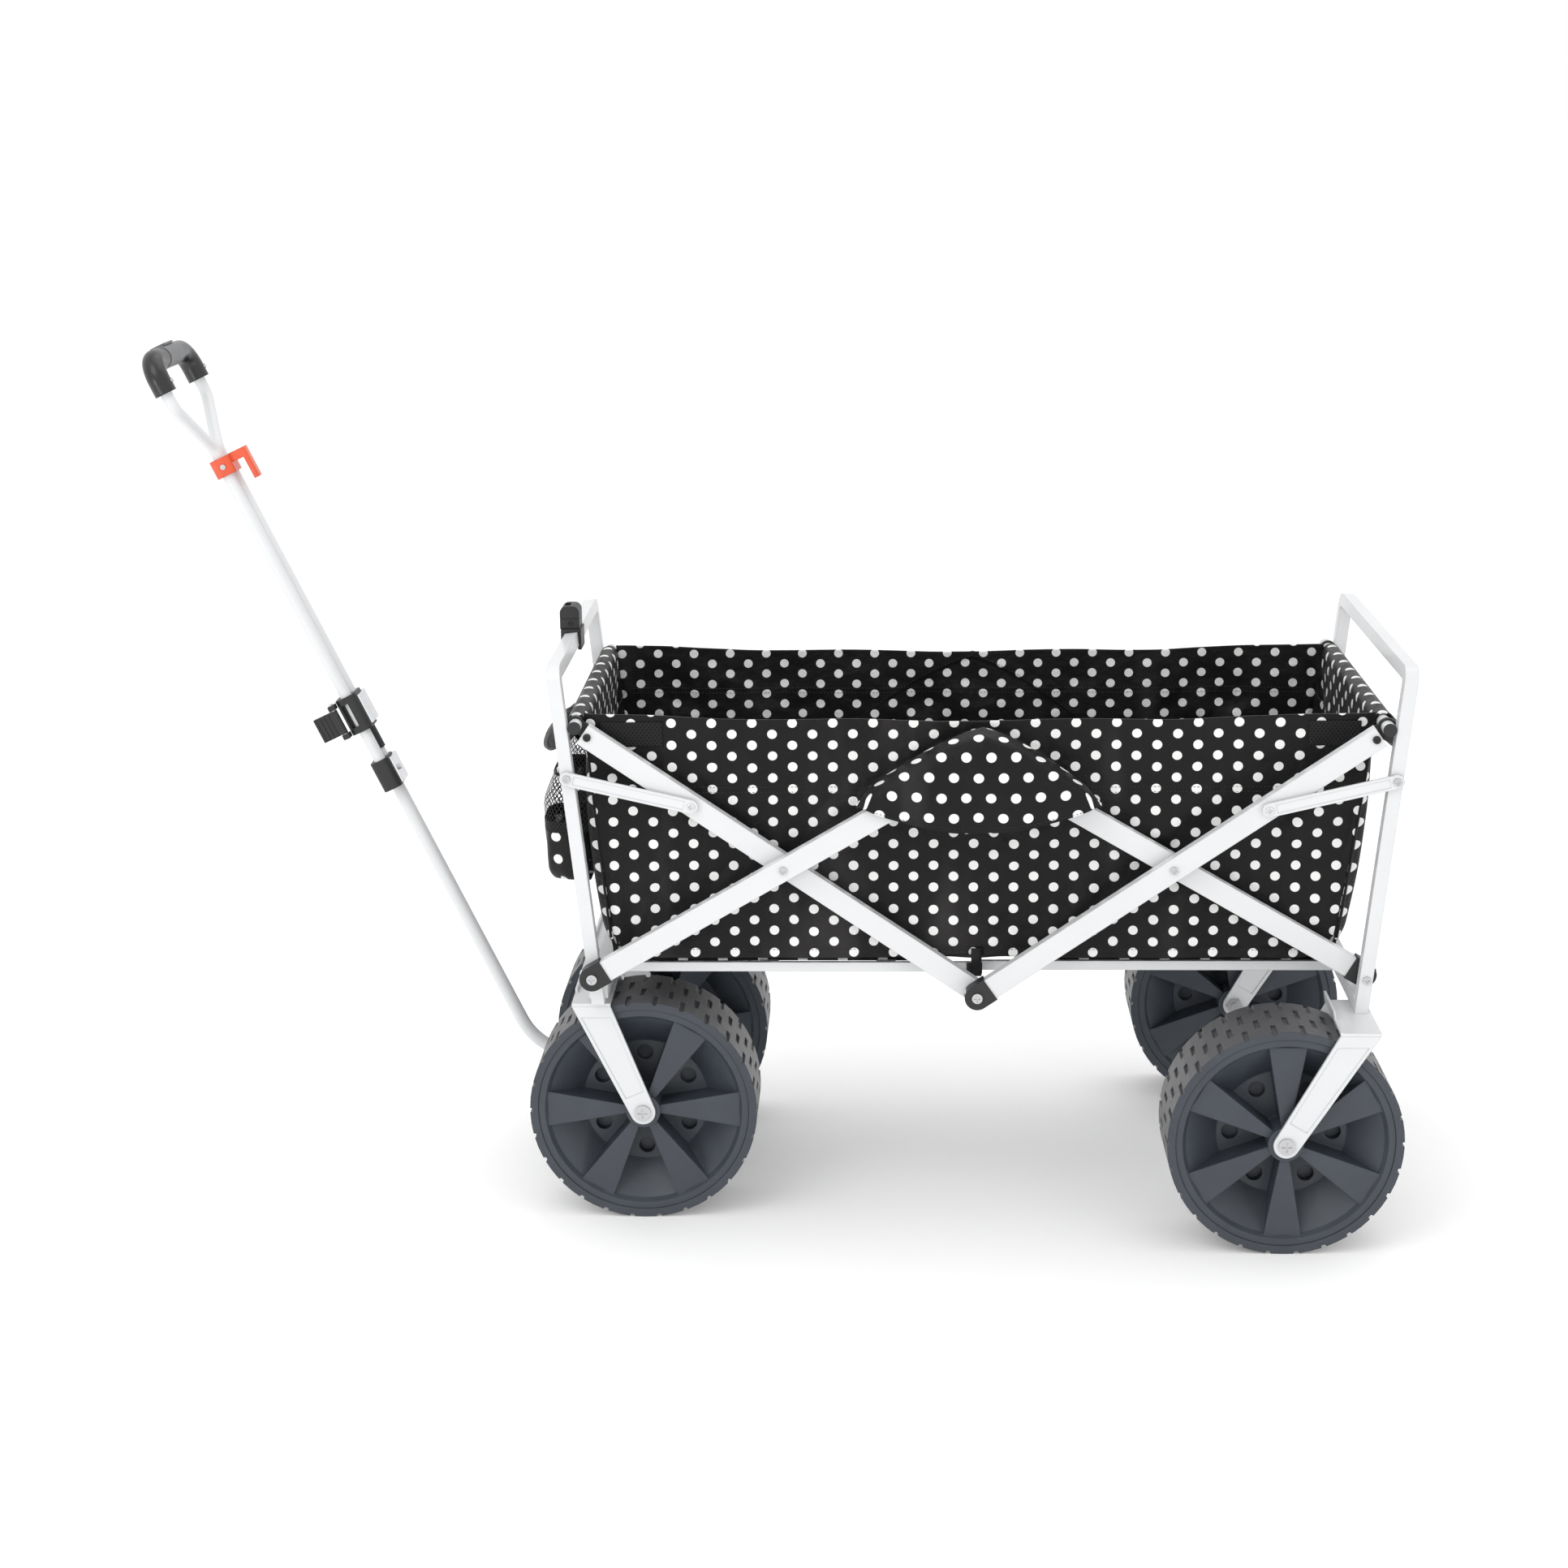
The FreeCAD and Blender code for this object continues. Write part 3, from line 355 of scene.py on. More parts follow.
look = {
    "cloth": clothMaterial("dottedCloth"),
    "plain": clothMaterial("plainCloth", printed=False),
    "net": netMaterial("openNet", 0.0058, 0.26, False),
    "denseNet": netMaterial("denseNet", 0.0046, 0.42, True),
    "thread": threadMaterial(),
    "white_powder_coat": paintMaterial(),
    "steel": metalMaterial("zincSteel", (0.62, 0.62, 0.63), 0.32),
    "chrome_trim": metalMaterial("chromeTrim", (0.72, 0.73, 0.75), 0.14),
    "black_plastic": plasticMaterial("blackPlastic", (0.011, 0.011, 0.012), 0.42, radius=0.0015),
    "orange_plastic": plasticMaterial("orangePlastic", (0.62, 0.075, 0.022), 0.3, radius=0.0022, coat=0.3),
    "grey_plastic": plasticMaterial("greyPlastic", (0.12, 0.125, 0.13), 0.4, radius=0.002),
    "grip_rubber": plasticMaterial("gripRubber", (0.010, 0.010, 0.011), 0.27, radius=0.003, coat=0.15),
    "wheel_plastic": plasticMaterial("wheelPlastic", wheelLook["disc"], 0.4, radius=0.0022, scale=420.0),
    "tread_plastic": treadMaterial(),
    "webbing": clothMaterial("webbing", printed=False, tint=0.9),
}
look["dotted_fabric"] = look["cloth"]

for row in frame["record"]["subparts"]:
    node = frame["nodes"][row["node"]]
    node.data.materials.clear()
    node.data.materials.append(look[row["material_slot"]])
print("materials made")

sides = {"left": -1.0, "right": 1.0}
wallSeeds = {"left": 11, "right": 37}
basketSize = {"topX": 0.446, "frontLowX": 0.419, "rearLowX": 0.408, "topZ": 0.611, "sag": 0.009, "lowZ": 0.321,
              "wallY": 0.1973, "nearY": 0.1938, "farY": 0.2028, "outerStitchZ": 0.521, "innerStitchZ": 0.552,
              "thick": 0.0022, "endHalf": 0.1955, "endThick": 0.0018, "endBelly": 0.0125}


# A grid of points becomes quads; uv carries metres measured on the cloth.
def gridMesh(name, points, uv, material, loop=False, flip=False):
    rows, cols = points.shape[:2]
    index = np.arange(rows * cols).reshape(rows, cols)
    right = np.roll(index, -1, axis=1) if loop else index[:, 1:]
    left = index if loop else index[:, :-1]
    quads = np.stack([left[:-1], right[:-1], right[1:], left[1:]], -1).reshape(-1, 4)
    if flip:
        quads = quads[:, ::-1]
    mesh = bpy.data.meshes.new(name)
    mesh.from_pydata(points.reshape(-1, 3), [], quads)
    layer = mesh.uv_layers.new(name="cloth")
    flat = uv.reshape(-1, 2)
    layer.data.foreach_set("uv", flat[quads.reshape(-1)].astype(np.float32).reshape(-1))
    mesh.polygons.foreach_set("use_smooth", np.ones(len(quads), bool))
    mesh.materials.append(material)
    mesh.update()
    obj = bpy.data.objects.new(name, mesh)
    scene.collection.objects.link(obj)
    return obj


# A sheet becomes a wall: offset 0 grows it both ways, -1 inwards.
def thicken(obj, amount, offset=0.0):
    m = obj.modifiers.new("thick", "SOLIDIFY")
    m.thickness = amount
    m.offset = offset
    return obj


# A seeded sum of slanted cosines: each has its own length, slope and phase.
def folds(x, z, seed, count, short, long, slopes):
    rng = np.random.default_rng(seed)
    total = np.zeros_like(x)
    for k in range(count):
        size = rng.uniform(short, long)
        slope = rng.uniform(*slopes)
        phase = rng.uniform(0, 2 * math.pi)
        wander = 0.25 * size * np.sin(2 * math.pi * z / (2.7 * size) + phase * 1.7)
        total += np.cos(2 * math.pi * ((x + wander) * math.cos(slope) + z * math.sin(slope)) / size + phase)
    return total / math.sqrt(count)


# Eases from 0 to 1 between low and high: t squared times (3 - 2 t).
def smooth(value, low, high):
    t = np.clip((value - low) / (high - low), 0, 1)
    return t * t * (3 - 2 * t)


flapShape = {"tipX": 0.137, "tipZ": 0.516, "apexX": 0.006, "apexZ": 0.603, "lowZ": 0.482}


# The arch seam: two gently bowed lines from the tips to the apex.
def archZ(x):
    f = flapShape
    t = np.clip(np.where(x < f["apexX"], (x + f["tipX"]) / (f["apexX"] + f["tipX"]),
                         (f["tipX"] - x) / (f["tipX"] - f["apexX"])), 0, 1)
    return f["tipZ"] + (f["apexZ"] - f["tipZ"]) * (t + 0.22 * t * (1 - t) - 0.10 * t ** 4)


# The flap's free edge: a sine bow, to the power 0.8, that hangs from tip to tip.
def archLow(x):
    f = flapShape
    t = np.clip(1 - np.abs(x) / f["tipX"], 0, 1)
    return f["tipZ"] - (f["tipZ"] - f["lowZ"]) * np.sin(t * math.pi / 2) ** 0.8


# The wall's distance out: a base plane, folds that fade at the hems, puckers at the stitching, the arch step.
def wallOut(x, z, seed):
    b = basketSize
    high = b["topZ"] - b["sag"]
    fade = smooth(z, b["lowZ"], b["lowZ"] + 0.05) * smooth(high - z, 0.0, 0.05)
    slant = folds(x, z, seed, 5, 0.09, 0.2, (-1.1, 1.1)) * 0.0030
    steep = folds(x, z, seed + 1, 6, 0.035, 0.08, (-1.0, 1.0)) * 0.0013
    out = (slant + steep) * (0.25 + 0.75 * fade)
    for line in (b["outerStitchZ"], b["innerStitchZ"]):
        near = np.exp(-((z - line) / 0.009) ** 2)
        out += near * (folds(x, z * 0.2, seed + 3, 3, 0.010, 0.02, (-0.2, 0.2)) * 0.0005 - 0.0008)
    hem = np.exp(-((z - b["lowZ"] - 0.009) / 0.005) ** 2)
    out += hem * (folds(x, z * 0, seed + 5, 3, 0.018, 0.05, (0, 0.1)) * 0.0009 - 0.0006)
    pleat = np.exp(-((x + 0.004 + 0.04 * (z - 0.40)) / 0.0090) ** 2) * smooth(0.50 - z, 0, 0.06)
    side = np.exp(-((x - 0.012 + 0.05 * (z - 0.40)) / 0.011) ** 2) * smooth(0.50 - z, 0, 0.06)
    out += -0.0042 * pleat + 0.0022 * side
    inArch = smooth(archZ(x) - z, -0.001, 0.0022) * smooth(0.137 - np.abs(x), 0, 0.004)
    out += 0.0016 * inArch * smooth(z, 0.45, 0.53)
    return out - 0.004 * np.sin(math.pi * np.clip((z - b["lowZ"]) / 0.28, 0, 1))


# The wall's place across, held between the floor brackets inside and the bars outside.
def wallPlace(x, z, seed, share=1.0):
    b = basketSize
    return np.clip(b["wallY"] + wallOut(x, z, seed) * share, b["nearY"], b["farY"])


# The wall narrows toward its hem as t to the power 1.2, its top sags as a sine, its corners lift and draw in.
def wallPoints(s, t, side, seed):
    b = basketSize
    end = np.minimum(s, 1 - s) * 0.86
    top = b["topZ"] - b["sag"] * np.sin(math.pi * s) ** 0.7 + 0.0012 * np.sin(s * 23)
    low = b["lowZ"] + 0.026 * np.exp(-(end / 0.016) ** 1.5) + 0.0035 * np.exp(-((s - 0.5) / 0.09) ** 2)
    z = top + (low - top) * t
    front = -(b["topX"] + (b["frontLowX"] - b["topX"]) * t ** 1.2)
    rear = b["topX"] + (b["rearLowX"] - b["topX"]) * t ** 1.2
    x = front + (rear - front) * s
    corner = np.exp(-(end / 0.007) ** 2)
    y = wallPlace(x, z, seed, 1 - corner) - 0.0025 * corner
    uv = np.stack([x * 1.0176 + 0.0038, (z - 0.455) * 1.04 + 0.455], -1)
    return np.stack([x + middleX, side * y, z], -1), uv


# The side cloth goes with the front rim: it is attached to the rim's body and keeps its own copy of the mesh.
def rideSquashed(obj):
    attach(obj, "front_rim")
    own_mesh(obj)
    return obj


# One side wall: a fine grid of wall points, thickened.
def wallObject(name, side, seed):
    s, t = np.meshgrid(np.linspace(0, 1, 420), np.linspace(0, 1, 150))
    points, uv = wallPoints(s, t, side, seed)
    obj = gridMesh("wall_" + name, points, uv, look["cloth"], flip=side > 0)
    thicken(obj, basketSize["thick"])
    return obj


# Many short stitches: each is a low four-sided lozenge along a line of points.
def stitchObject(name, line, normal, length=0.0033, width=0.0009, height=0.0007):
    step = line[1:] - line[:-1]
    size = np.linalg.norm(step, axis=1)
    reach = np.concatenate([[0], np.cumsum(size)])
    count = max(2, int(reach[-1] / (length * 1.35)))
    at = (np.arange(count) + 0.5) * reach[-1] / count
    mid = np.stack([np.interp(at, reach, line[:, k]) for k in range(3)], -1)
    ahead = np.stack([np.interp(at + 0.001, reach, line[:, k]) for k in range(3)], -1)
    behind = np.stack([np.interp(at - 0.001, reach, line[:, k]) for k in range(3)], -1)
    d = ahead - behind
    d /= np.linalg.norm(d, axis=1)[:, None] + 1e-9
    n = np.broadcast_to(np.asarray(normal, float), d.shape)
    w = np.cross(d, n)
    w /= np.linalg.norm(w, axis=1)[:, None] + 1e-9
    n = np.cross(w, d)
    h = length / 2
    across, over = w * width / 2, n * height
    ring = [mid - d * h, mid + across, mid + over, mid - across, mid - over * 0.6, mid + d * h]
    points = np.stack(ring, 1).reshape(-1, 3)
    faces = np.array([(0, 1, 2), (0, 2, 3), (0, 3, 4), (0, 4, 1), (5, 2, 1), (5, 3, 2), (5, 4, 3), (5, 1, 4)])
    every = (faces[None] + 6 * np.arange(count)[:, None, None]).reshape(-1, 3)
    mesh = bpy.data.meshes.new(name)
    mesh.from_pydata(points, [], every)
    mesh.materials.append(look["thread"])
    mesh.update()
    obj = bpy.data.objects.new(name, mesh)
    scene.collection.objects.link(obj)
    return obj


# A level line along the wall, half a thickness outside or inside its middle.
def wallLine(side, seed, z, outer, spread=0.4265):
    x = np.linspace(-spread, spread * 0.985, 500)
    y = wallPlace(x, np.full_like(x, z), seed)
    shift = basketSize["thick"] / 2 + 0.0002
    y = y + (shift if outer else -shift)
    return np.stack([x + middleX, side * y, np.full_like(x, z)], -1)


# The flap's section runs from the arch seam out over the bars and down to its free edge.
def flapObject(name, side, seed):
    a = np.linspace(-1, 1, 150)
    t = np.linspace(0, 1, 70)
    x = 0.137 * np.sign(a) * np.abs(a) ** 1.02
    high, low = archZ(x), archLow(x)
    tall = np.maximum(high - low, 0.004)
    grow = np.clip(tall / 0.04, 0.12, 1)
    keys = np.array([0.0, 0.08, 0.18, 0.32, 0.7, 1.0])
    yKeys = np.array([0.199, 0.216, 0.240, 0.2458, 0.2472, 0.2450])
    drop = np.array([0.0, -0.03, 0.03, 0.20, 0.58, 1.0])
    y = np.interp(t, keys, yKeys)[:, None] + 0 * x[None]
    kernel = np.ones(9) / 9
    for k in range(2):
        y = np.apply_along_axis(lambda v: np.convolve(np.pad(v, 4, "edge"), kernel, "valid"), 0, y)
    z = high[None] - np.interp(t, keys, drop)[:, None] * tall[None]
    edge = smooth(np.abs(x), 0.118, 0.137)[None]
    y = y * (1 - edge) + edge * np.maximum(y, 0.241)
    wave = folds(x[None] + 0 * z, z, seed + 9, 4, 0.05, 0.12, (-0.9, 0.9)) * 0.0012
    y = np.clip(y + wave * smooth(t, 0.15, 0.5)[:, None] * grow[None], 0.1985, 0.2492)
    points = np.stack([x[None] + middleX + 0 * z, side * y, z], -1)
    step = np.hypot(np.diff(y, axis=0), np.diff(z, axis=0))
    along = np.concatenate([np.zeros((1, len(x))), np.cumsum(step, 0)])
    uv = np.stack([high[None] - along - 0.515, x[None] * 0.97 + 0 * z], -1)
    obj = gridMesh("flap_" + name, points, uv, look["cloth"], flip=side > 0)
    thicken(obj, 0.0016)
    edgeLine = points[-4] + np.array([0, side * 0.0011, 0])
    seamLine = points[1] + np.array([0, side * 0.001, 0.0006])
    return obj, edgeLine, seamLine


madeWalls = []
for name, side in sides.items():
    seed = wallSeeds[name]
    wall = wallObject(name, side, seed)
    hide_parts("basket_side_walls")
    flap, edgeLine, seamLine = flapObject(name, side, seed)
    pieces = [wall, flap]
    lines = {"upper": wallLine(side, seed, basketSize["outerStitchZ"] + 0.003, True),
             "lower": wallLine(side, seed, basketSize["outerStitchZ"] - 0.003, True),
             "insideUpper": wallLine(side, seed, basketSize["innerStitchZ"] + 0.003, False),
             "insideLower": wallLine(side, seed, basketSize["innerStitchZ"] - 0.003, False),
             "hem": wallLine(side, seed, basketSize["lowZ"] + 0.0105, True, 0.395),
             "flapEdge": edgeLine, "flapSeam": seamLine}
    arch = np.linspace(-0.134, 0.134, 160)
    archHigh = archZ(arch) + 0.002
    inner = wallPlace(arch, archHigh, seed) - basketSize["thick"] / 2 - 0.0002
    lines["insideArch"] = np.stack([arch + middleX, side * inner, archHigh], -1)
    for key, line in lines.items():
        out = side if not key.startswith("inside") else -side
        pieces.append(stitchObject("stitches_%s_%s" % (name, key), line, (0, out, 0)))
    madeWalls += pieces
print("walls made")


# The end cloth climbs the inside, rolls over the rim tube and is sewn down below it outside.
def endPath(sign, lowX):
    b = basketSize
    cx, cz, r = 0.455, 0.599, 0.0103
    turn = np.linspace(math.pi, -0.35 * math.pi, 26)
    roll = np.stack([cx + r * np.cos(turn), cz + r * np.sin(turn)], -1)
    up = np.stack([np.linspace(lowX, cx - r, 70), np.linspace(b["lowZ"], cz - 0.004, 70)], -1)
    endX, endZ = roll[-1]
    tail = np.stack([np.linspace(endX - 0.001, 0.4465, 12), np.linspace(endZ - 0.002, 0.568, 12)], -1)
    path = np.concatenate([up, roll, tail])
    return path[:, 0] * sign, path[:, 1]


# The end's path repeats across the width; below the rim it bellies outward as a sine, with faint folds.
def endObject(name, sign, lowX, seed):
    px, pz = endPath(sign, lowX)
    half = basketSize["endHalf"]
    y = np.linspace(-half, half, 180)
    x = px[:, None] + 0 * y
    z = pz[:, None] + 0 * y
    reach = np.concatenate([[0], np.cumsum(np.hypot(np.diff(px), np.diff(pz)))])
    fade = smooth(0.59 - z, 0, 0.06) * smooth(z, 0.32, 0.36) * smooth(half - np.abs(y), 0, 0.03)[None]
    main = (reach < reach[69])[:, None]
    belly = np.sin(math.pi * np.clip((0.585 - z) / 0.30, 0, 1)) ** 0.8 * smooth(z, 0.322, 0.36)
    side = smooth(half - np.abs(y), 0, 0.012)[None]
    x = x + sign * main * belly * side * basketSize["endBelly"]
    x = x + sign * main * fade * 0.0016 * folds(y[None] + 0 * z, z, seed, 5, 0.06, 0.14, (-1, 1))
    points = np.stack([x + middleX, y[None] + 0 * z, z], -1)
    uv = np.stack([y[None] + 0 * z + 0.006, reach[:, None] + 0 * z], -1)
    obj = gridMesh("end_" + name, points, uv, look["cloth"], flip=sign > 0)
    thicken(obj, basketSize["endThick"])
    lineZ = np.full(300, 0.552)
    ly = np.linspace(-0.19, 0.19, 300)
    lx = np.interp(lineZ, pz[:70], np.abs(px[:70])) * sign - sign * 0.0045
    stitch = stitchObject("stitches_end_" + name, np.stack([lx + middleX, ly, lineZ], -1), (-sign, 0, 0))
    return obj, stitch


for name, sign, lowX, seed in (("front", -1, 0.418, 61), ("rear", 1, 0.408, 83)):
    obj, stitch = endObject(name, sign, lowX, seed)
    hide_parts("basket_%s_end" % name)
    for o in (obj, stitch):
        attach(o, name + "_rim")
print("ends made")


# A tube: at each path point a ring of radius r, cos t along one cross direction and sin t along the other.
def tubeObject(name, path, radius, material, sidesCount=10):
    path = np.asarray(path, float)
    d = np.gradient(path, axis=0)
    d /= np.linalg.norm(d, axis=1)[:, None]
    ref = np.array([0.3, 0.9, 0.2])
    a = np.cross(d, ref)
    a /= np.linalg.norm(a, axis=1)[:, None]
    b = np.cross(d, a)
    t = np.linspace(0, 2 * math.pi, sidesCount, endpoint=False)
    r = np.asarray(radius, float) * np.ones(len(path))
    turn = np.cos(t)[None, :, None] * a[:, None] + np.sin(t)[None, :, None] * b[:, None]
    ring = path[:, None] + r[:, None, None] * turn
    ring = np.concatenate([path[None, :1] + 0 * ring[:1], ring, path[None, -1:] + 0 * ring[-1:]])
    reach = np.concatenate([[0], np.cumsum(np.linalg.norm(np.diff(path, axis=0), axis=1))])
    reach = np.concatenate([[reach[0]], reach, [reach[-1]]])
    grid = ring.shape[:2]
    uv = np.stack([np.broadcast_to(t * 0.01, grid), np.broadcast_to(reach[:, None], grid)], -1)
    return gridMesh(name, ring, uv, material, loop=True)


# Corner seams: a thin rolled edge up each corner where wall and end meet.
for name, side in sides.items():
    for end, sign, lowX in (("front", -1, 0.419), ("rear", 1, 0.408)):
        z = np.linspace(0.345, 0.600, 40)
        x = sign * (lowX + (0.4455 - lowX) * ((z - 0.322) / 0.28) ** 0.9)
        path = np.stack([x + middleX, 0 * z + side * 0.1945, z], -1)
        cornerSeam = tubeObject("corner_seam_%s_%s" % (name, end), path, 0.0019, look["plain"])
        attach(cornerSeam, end + "_rim")


# A stuffed board: its top crowns between the edges and its long seams pull in.
def padObject(name, node, seed):
    lowCorner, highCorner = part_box(node)
    (x0, y0, z0), (x1, y1, z1) = lowCorner, highCorner
    s, t = np.meshgrid(np.linspace(-1, 1, 90), np.linspace(-1, 1, 90))
    crown = (1 - np.abs(s) ** 8) * (1 - np.abs(t) ** 8)
    x = (x0 + x1) / 2 + (x1 - x0) / 2 * s
    y = (y0 + y1) / 2 + (y1 - y0) / 2 * t
    z = z0 + 0.0012 + (z1 - z0 - 0.0012) * crown + 0.0006 * crown * folds(x, y, seed, 4, 0.07, 0.16, (-1, 1))
    pts = np.stack([x, y, z], -1)
    obj = gridMesh(name, pts, np.stack([x, y], -1), look["cloth"])
    thicken(obj, 0.003, -1.0)
    return obj


for end, seed in (("front", 5), ("rear", 6)):
    pad = padObject("floor_cushion_" + end, "%s_floor_pad" % end, seed)
    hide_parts("%s_floor_pad" % end)
    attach(pad, end + "_floor")

# The floor's cover lies on both cushions; each half turns with its own frame.
for end, x0, x1 in (("front", -0.420, -0.0006), ("rear", 0.0006, 0.410)):
    s, t = np.meshgrid(np.linspace(x0, x1, 90), np.linspace(-0.1918, 0.1918, 80))
    crest = 0.0012 * np.cos(s * 60) * smooth(0.05 - np.abs(s), 0, 0.05)
    floorZ = 0.3215 - crest + 0.0004 * folds(s, t, 4, 4, 0.06, 0.2, (-1, 1))
    place = np.stack([s + middleX, t, floorZ], -1)
    underCloth = gridMesh("floor_cloth_" + end, place, np.stack([s, t], -1), look["cloth"])
    thicken(underCloth, 0.0012)
    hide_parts("floor_centre_strip")
    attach(underCloth, end + "_floor")
for o in madeWalls:
    rideSquashed(o)
print("floor made")


pocketSize = {"backX": -0.4485, "depth": 0.0525, "half": 0.047, "baseZ": 0.402, "tall": 0.143, "corner": 0.42}


# The cup's outline: a rounded box seen from above, narrowing and rounding in toward its base.
def pocketSurface(name, yMid, zLow, zHigh, material, closed):
    a = np.linspace(0, math.pi, 90)
    t = np.linspace(0, 1, 60 if closed else 24)
    z = zLow + (zHigh - zLow) * t
    p = pocketSize
    level = (z - p["baseZ"]) / p["tall"]
    squeeze = np.clip(1 - (1 - np.clip(level / 0.14, 0, 1)) ** 2.6, 0.0, 1)
    depth = p["depth"] * (0.90 + 0.10 * np.sin(np.clip(level, 0, 1) * math.pi)) * (0.82 + 0.18 * squeeze)
    depth = depth * (1 - 0.26 * smooth(level, 0.62, 1.05))
    half = p["half"] * (0.80 + 0.20 * squeeze)
    c, s = np.cos(a), np.sin(a)
    outX = np.sign(s) * np.abs(s) ** p["corner"]
    outY = np.sign(c) * np.abs(c) ** p["corner"]
    about, tall = np.meshgrid(a * 0.05, z)
    wob = folds(about, tall, int(yMid * 1000) % 7 + 3, 4, 0.04, 0.09, (-1, 1)) * 0.0011
    x = p["backX"] - (depth[:, None] + wob) * outX[None]
    y = yMid + (half[:, None] + 0.5 * wob) * outY[None]
    pts = np.stack([x + middleX, y, z[:, None] + 0 * x], -1)
    along = np.concatenate([np.zeros((1,)), np.cumsum(np.hypot(np.diff(outX) * 0.052, np.diff(outY) * 0.047))])
    uv = np.stack([np.broadcast_to(along[None], x.shape), pts[..., 2]], -1)
    if closed:
        backX = p["backX"] + middleX
        rows = []
        for k in np.linspace(0.0, 0.94, 10):
            row = pts[0].copy()
            row[:, 0] = backX + (row[:, 0] - backX) * k
            row[:, 1] = yMid + (row[:, 1] - yMid) * k
            row[:, 2] -= 0.0045 * (1 - k ** 4)
            rows.append(row)
        base = np.stack(rows)
        baseUv = np.stack([base[..., 1], base[..., 0]], -1)
        pts = np.concatenate([base, pts])
        uv = np.concatenate([baseUv, uv])
    return gridMesh(name, pts, uv, material)


pocketPieces = []
for name, side in sides.items():
    yMid = side * 0.119
    cup = pocketSurface("cup_pocket_" + name, yMid, 0.405, 0.464, look["cloth"], True)
    thicken(cup, 0.0014)
    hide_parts("cup_pockets")
    band = pocketSurface("cup_pocket_band_" + name, yMid, 0.462, 0.475, look["denseNet"], False)
    thicken(band, 0.0018)
    netPart = pocketSurface("cup_pocket_net_" + name, yMid, 0.474, 0.531, look["net"], False)
    brim = pocketSurface("cup_pocket_brim_" + name, yMid, 0.530, 0.5335, look["plain"], False)
    thicken(brim, 0.0024)
    pocketPieces += [cup, band, netPart, brim]


grabSize = {"rootX": 0.4555, "reach": 0.0455, "topZ": 0.573, "drop": 0.029, "half": 0.077, "tilt": 56}


# The grab pad: a stuffed roll that stands off the end in a bow, drawn in at its sewn ends.
def grabObject(name, sign):
    k = np.linspace(-1, 1, 80)
    bow = np.maximum(np.cos(k * math.pi / 2), 0) ** 0.5
    g = grabSize
    cx = sign * (g["rootX"] + g["reach"] * bow)
    cz = g["topZ"] - g["drop"] * bow
    t = np.linspace(0, 2 * math.pi, 32, endpoint=False)
    wide = (0.008 + 0.0145 * bow) * (1 - 0.55 * np.abs(k) ** 12)
    thin = (0.004 + 0.0070 * bow) * (1 - 0.55 * np.abs(k) ** 12)
    tilt = math.radians(g["tilt"])
    u = wide[:, None] * np.cos(t)[None]
    v = thin[:, None] * np.sin(t)[None]
    crease = 1 + 0.05 * np.sin(k * 24)[:, None] * np.sin(t * 2)[None]
    x = cx[:, None] + sign * (u * math.cos(tilt) + v * math.sin(tilt)) * crease
    z = cz[:, None] + (-u * math.sin(tilt) + v * math.cos(tilt)) * crease
    y = (k * g["half"])[:, None] + 0 * x
    pts = np.stack([x + middleX, y, z], -1)
    cap0 = pts[:1].mean(1, keepdims=True) + 0 * pts[:1]
    cap1 = pts[-1:].mean(1, keepdims=True) + 0 * pts[:1]
    pts = np.concatenate([cap0, pts, cap1])
    uv = np.stack([pts[..., 1], np.broadcast_to(t * 0.012, pts.shape[:2])], -1)
    obj = gridMesh("grab_pad_" + name, pts, uv, look["webbing"], loop=True, flip=sign > 0)
    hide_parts(name + "_grab_strap")
    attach(obj, name + "_rim")
    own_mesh(obj)
    return obj


for name, sign in (("front", -1), ("rear", 1)):
    grabObject(name, sign)
for o in pocketPieces:
    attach(o, "front_rim")
    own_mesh(o)
print("pockets and grab pads made")


# Dense net patches strengthen the upper corners of both walls.
for name, side in sides.items():
    for end, x0, x1 in (("front", -0.428, -0.357), ("rear", 0.372, 0.430)):
        s, t = np.meshgrid(np.linspace(x0, x1, 24), np.linspace(0.572, 0.601, 12))
        y = wallPlace(s, t, wallSeeds[name]) + 0.0021
        patch = gridMesh("net_patch_%s_%s" % (name, end), np.stack([s + middleX, side * y, t], -1),
                         np.stack([s, t], -1), look["denseNet"], flip=side < 0)
        thicken(patch, 0.0009)
        rideSquashed(patch)

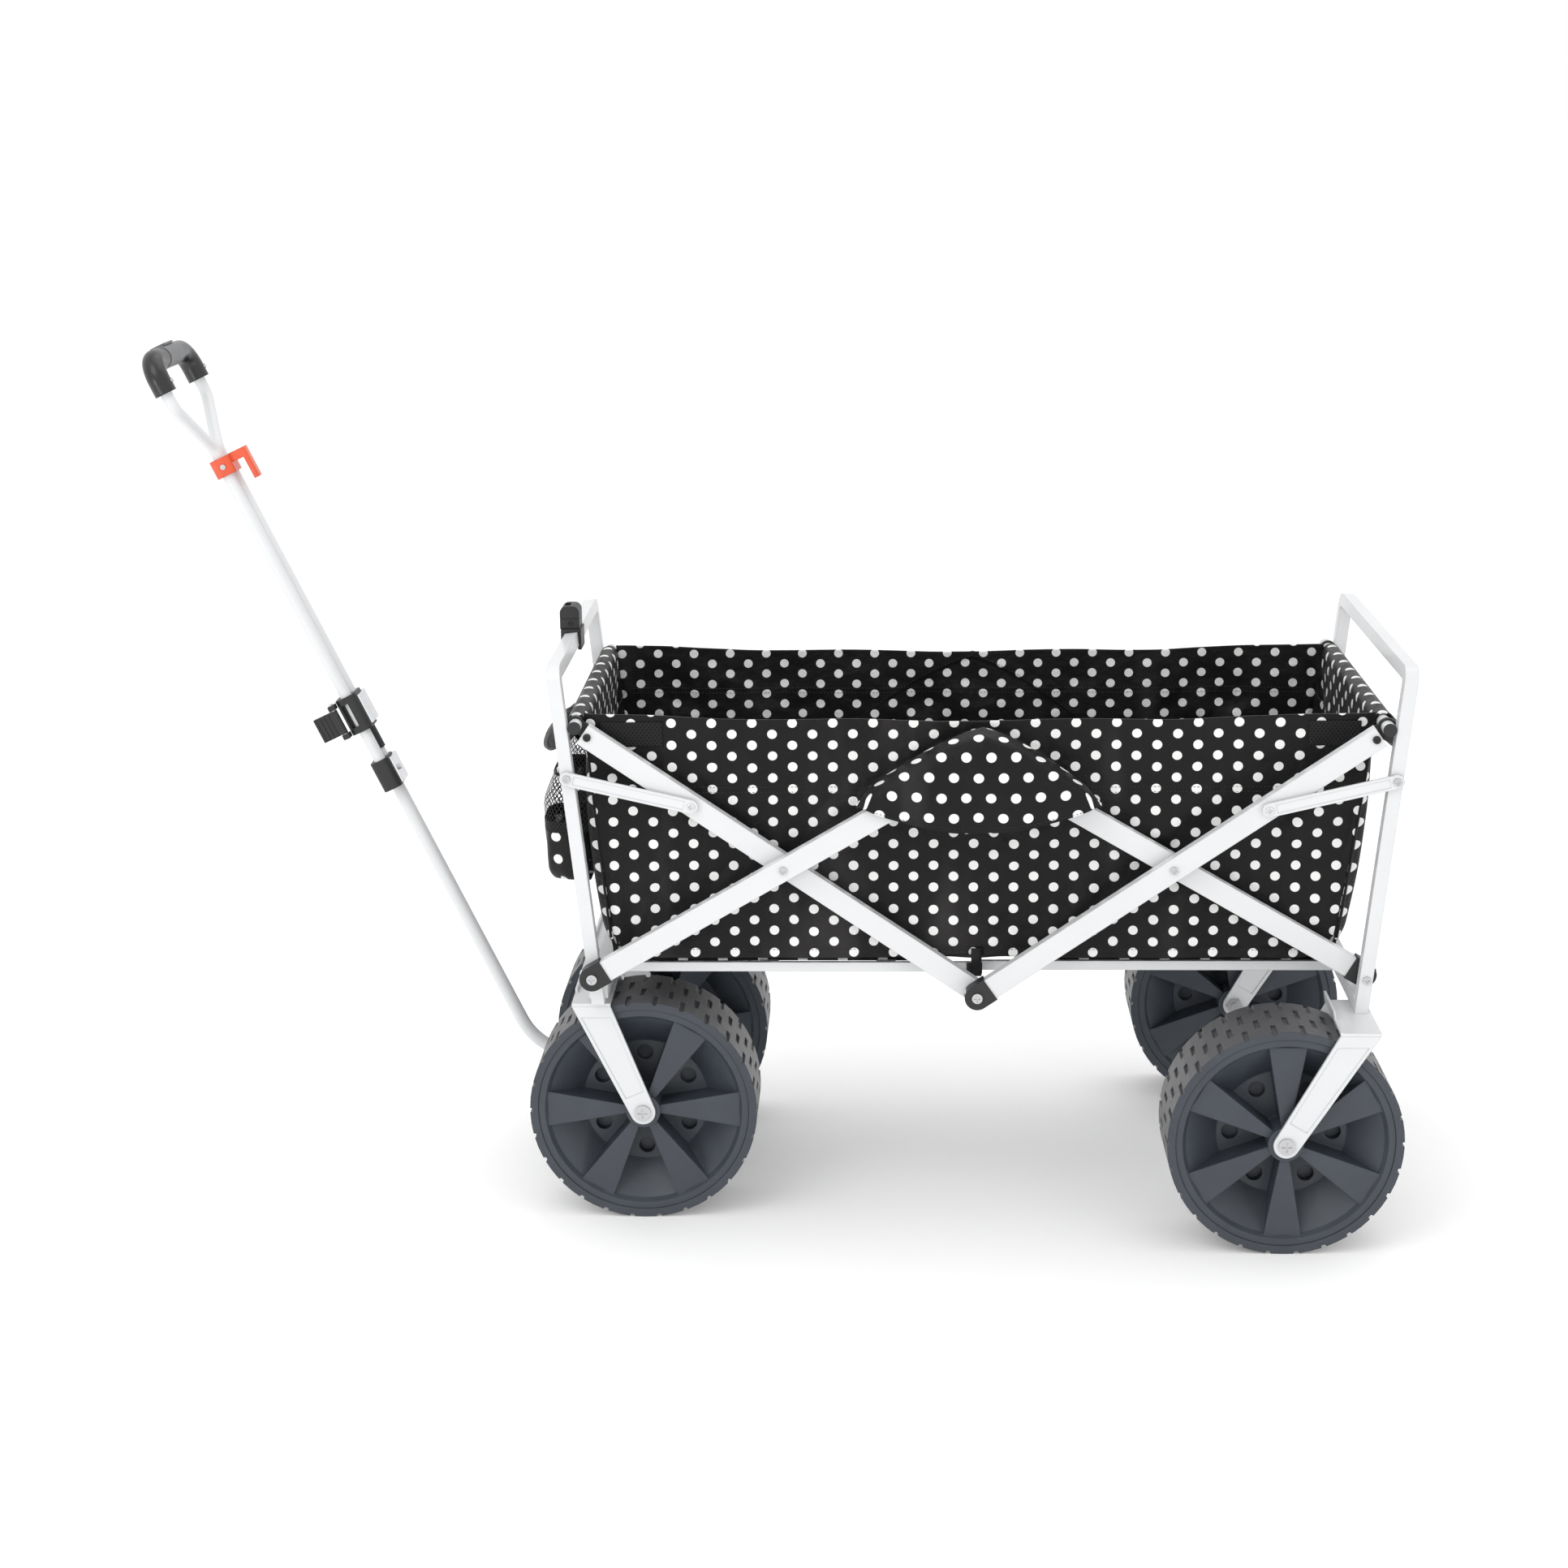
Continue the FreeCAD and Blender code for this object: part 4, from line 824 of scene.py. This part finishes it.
# The lift straps: a short, faintly wavy ribbon at each side of the middle, below the hem.
for name, side in sides.items():
    z = np.linspace(0.300, 0.333, 16)
    y = 0.1995 + 0.0008 * np.sin(z * 300)
    across = np.zeros((5, 1))
    x = np.linspace(-0.006, 0.006, 5)[:, None] + 0 * z[None] + middleX
    strip = np.stack([x, side * (y[None] + across), z[None] + across], -1)
    strap = gridMesh("lift_strap_" + name, strip, strip[..., [0, 2]], look["webbing"])
    thicken(strap, 0.0014)
    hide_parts("fold_pull_straps")
    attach(strap, "front_floor")

studio = {"floor": 0.95, "glow": 0.12, "sky": 1.0, "key": 30.0, "low": 12.0}


# A pale ground, a white world and four area lamps, each turned toward its own aim.
def studioSet():
    mesh = bpy.data.meshes.new("ground")
    mesh.from_pydata([(-30, -20, 0), (30, -20, 0), (30, 60, 0), (-30, 60, 0)], [], [(0, 1, 2, 3)])
    ground = bpy.data.objects.new("ground", mesh)
    scene.collection.objects.link(ground)
    m, s, b = newMaterial("groundPaper")
    c = studio["floor"]
    b.inputs["Base Color"].default_value = (c, c, c, 1)
    b.inputs["Roughness"].default_value = 0.75
    b.inputs["Emission Color"].default_value = (1, 1, 1, 1)
    b.inputs["Emission Strength"].default_value = studio["glow"]
    mesh.materials.append(m)
    world = bpy.data.worlds.new("studio")
    scene.world = world
    world.use_nodes = True
    back = world.node_tree.nodes["Background"]
    back.inputs[0].default_value = (1, 1, 1, 1)
    back.inputs[1].default_value = studio["sky"]
    lamps = (("key", (-1.6, -2.4, 3.4), (0, 0, 0.3), 2.2, studio["key"]),
             ("top", (0.6, 0.8, 3.8), (0.2, 0, 0.3), 3.0, studio["key"] * 0.8),
             ("lowLeft", (-2.5, -3.0, 0.55), (0.1, 0, 0.45), 0.7, studio["low"]),
             ("lowRight", (3.0, -2.6, 0.9), (0.3, 0, 0.45), 0.7, studio["low"] * 0.7))
    for name, place, aim, size, power in lamps:
        data = bpy.data.lights.new(name, "AREA")
        data.size = size
        data.energy = power
        lamp = bpy.data.objects.new(name, data)
        aimAt = Vector(aim) - Vector(place)
        lamp.matrix_world = Matrix.Translation(place) @ aimAt.to_track_quat("-Z", "Y").to_matrix().to_4x4()
        scene.collection.objects.link(lamp)


studioSet()
scene.view_settings.view_transform = "Standard"
print("studio made")
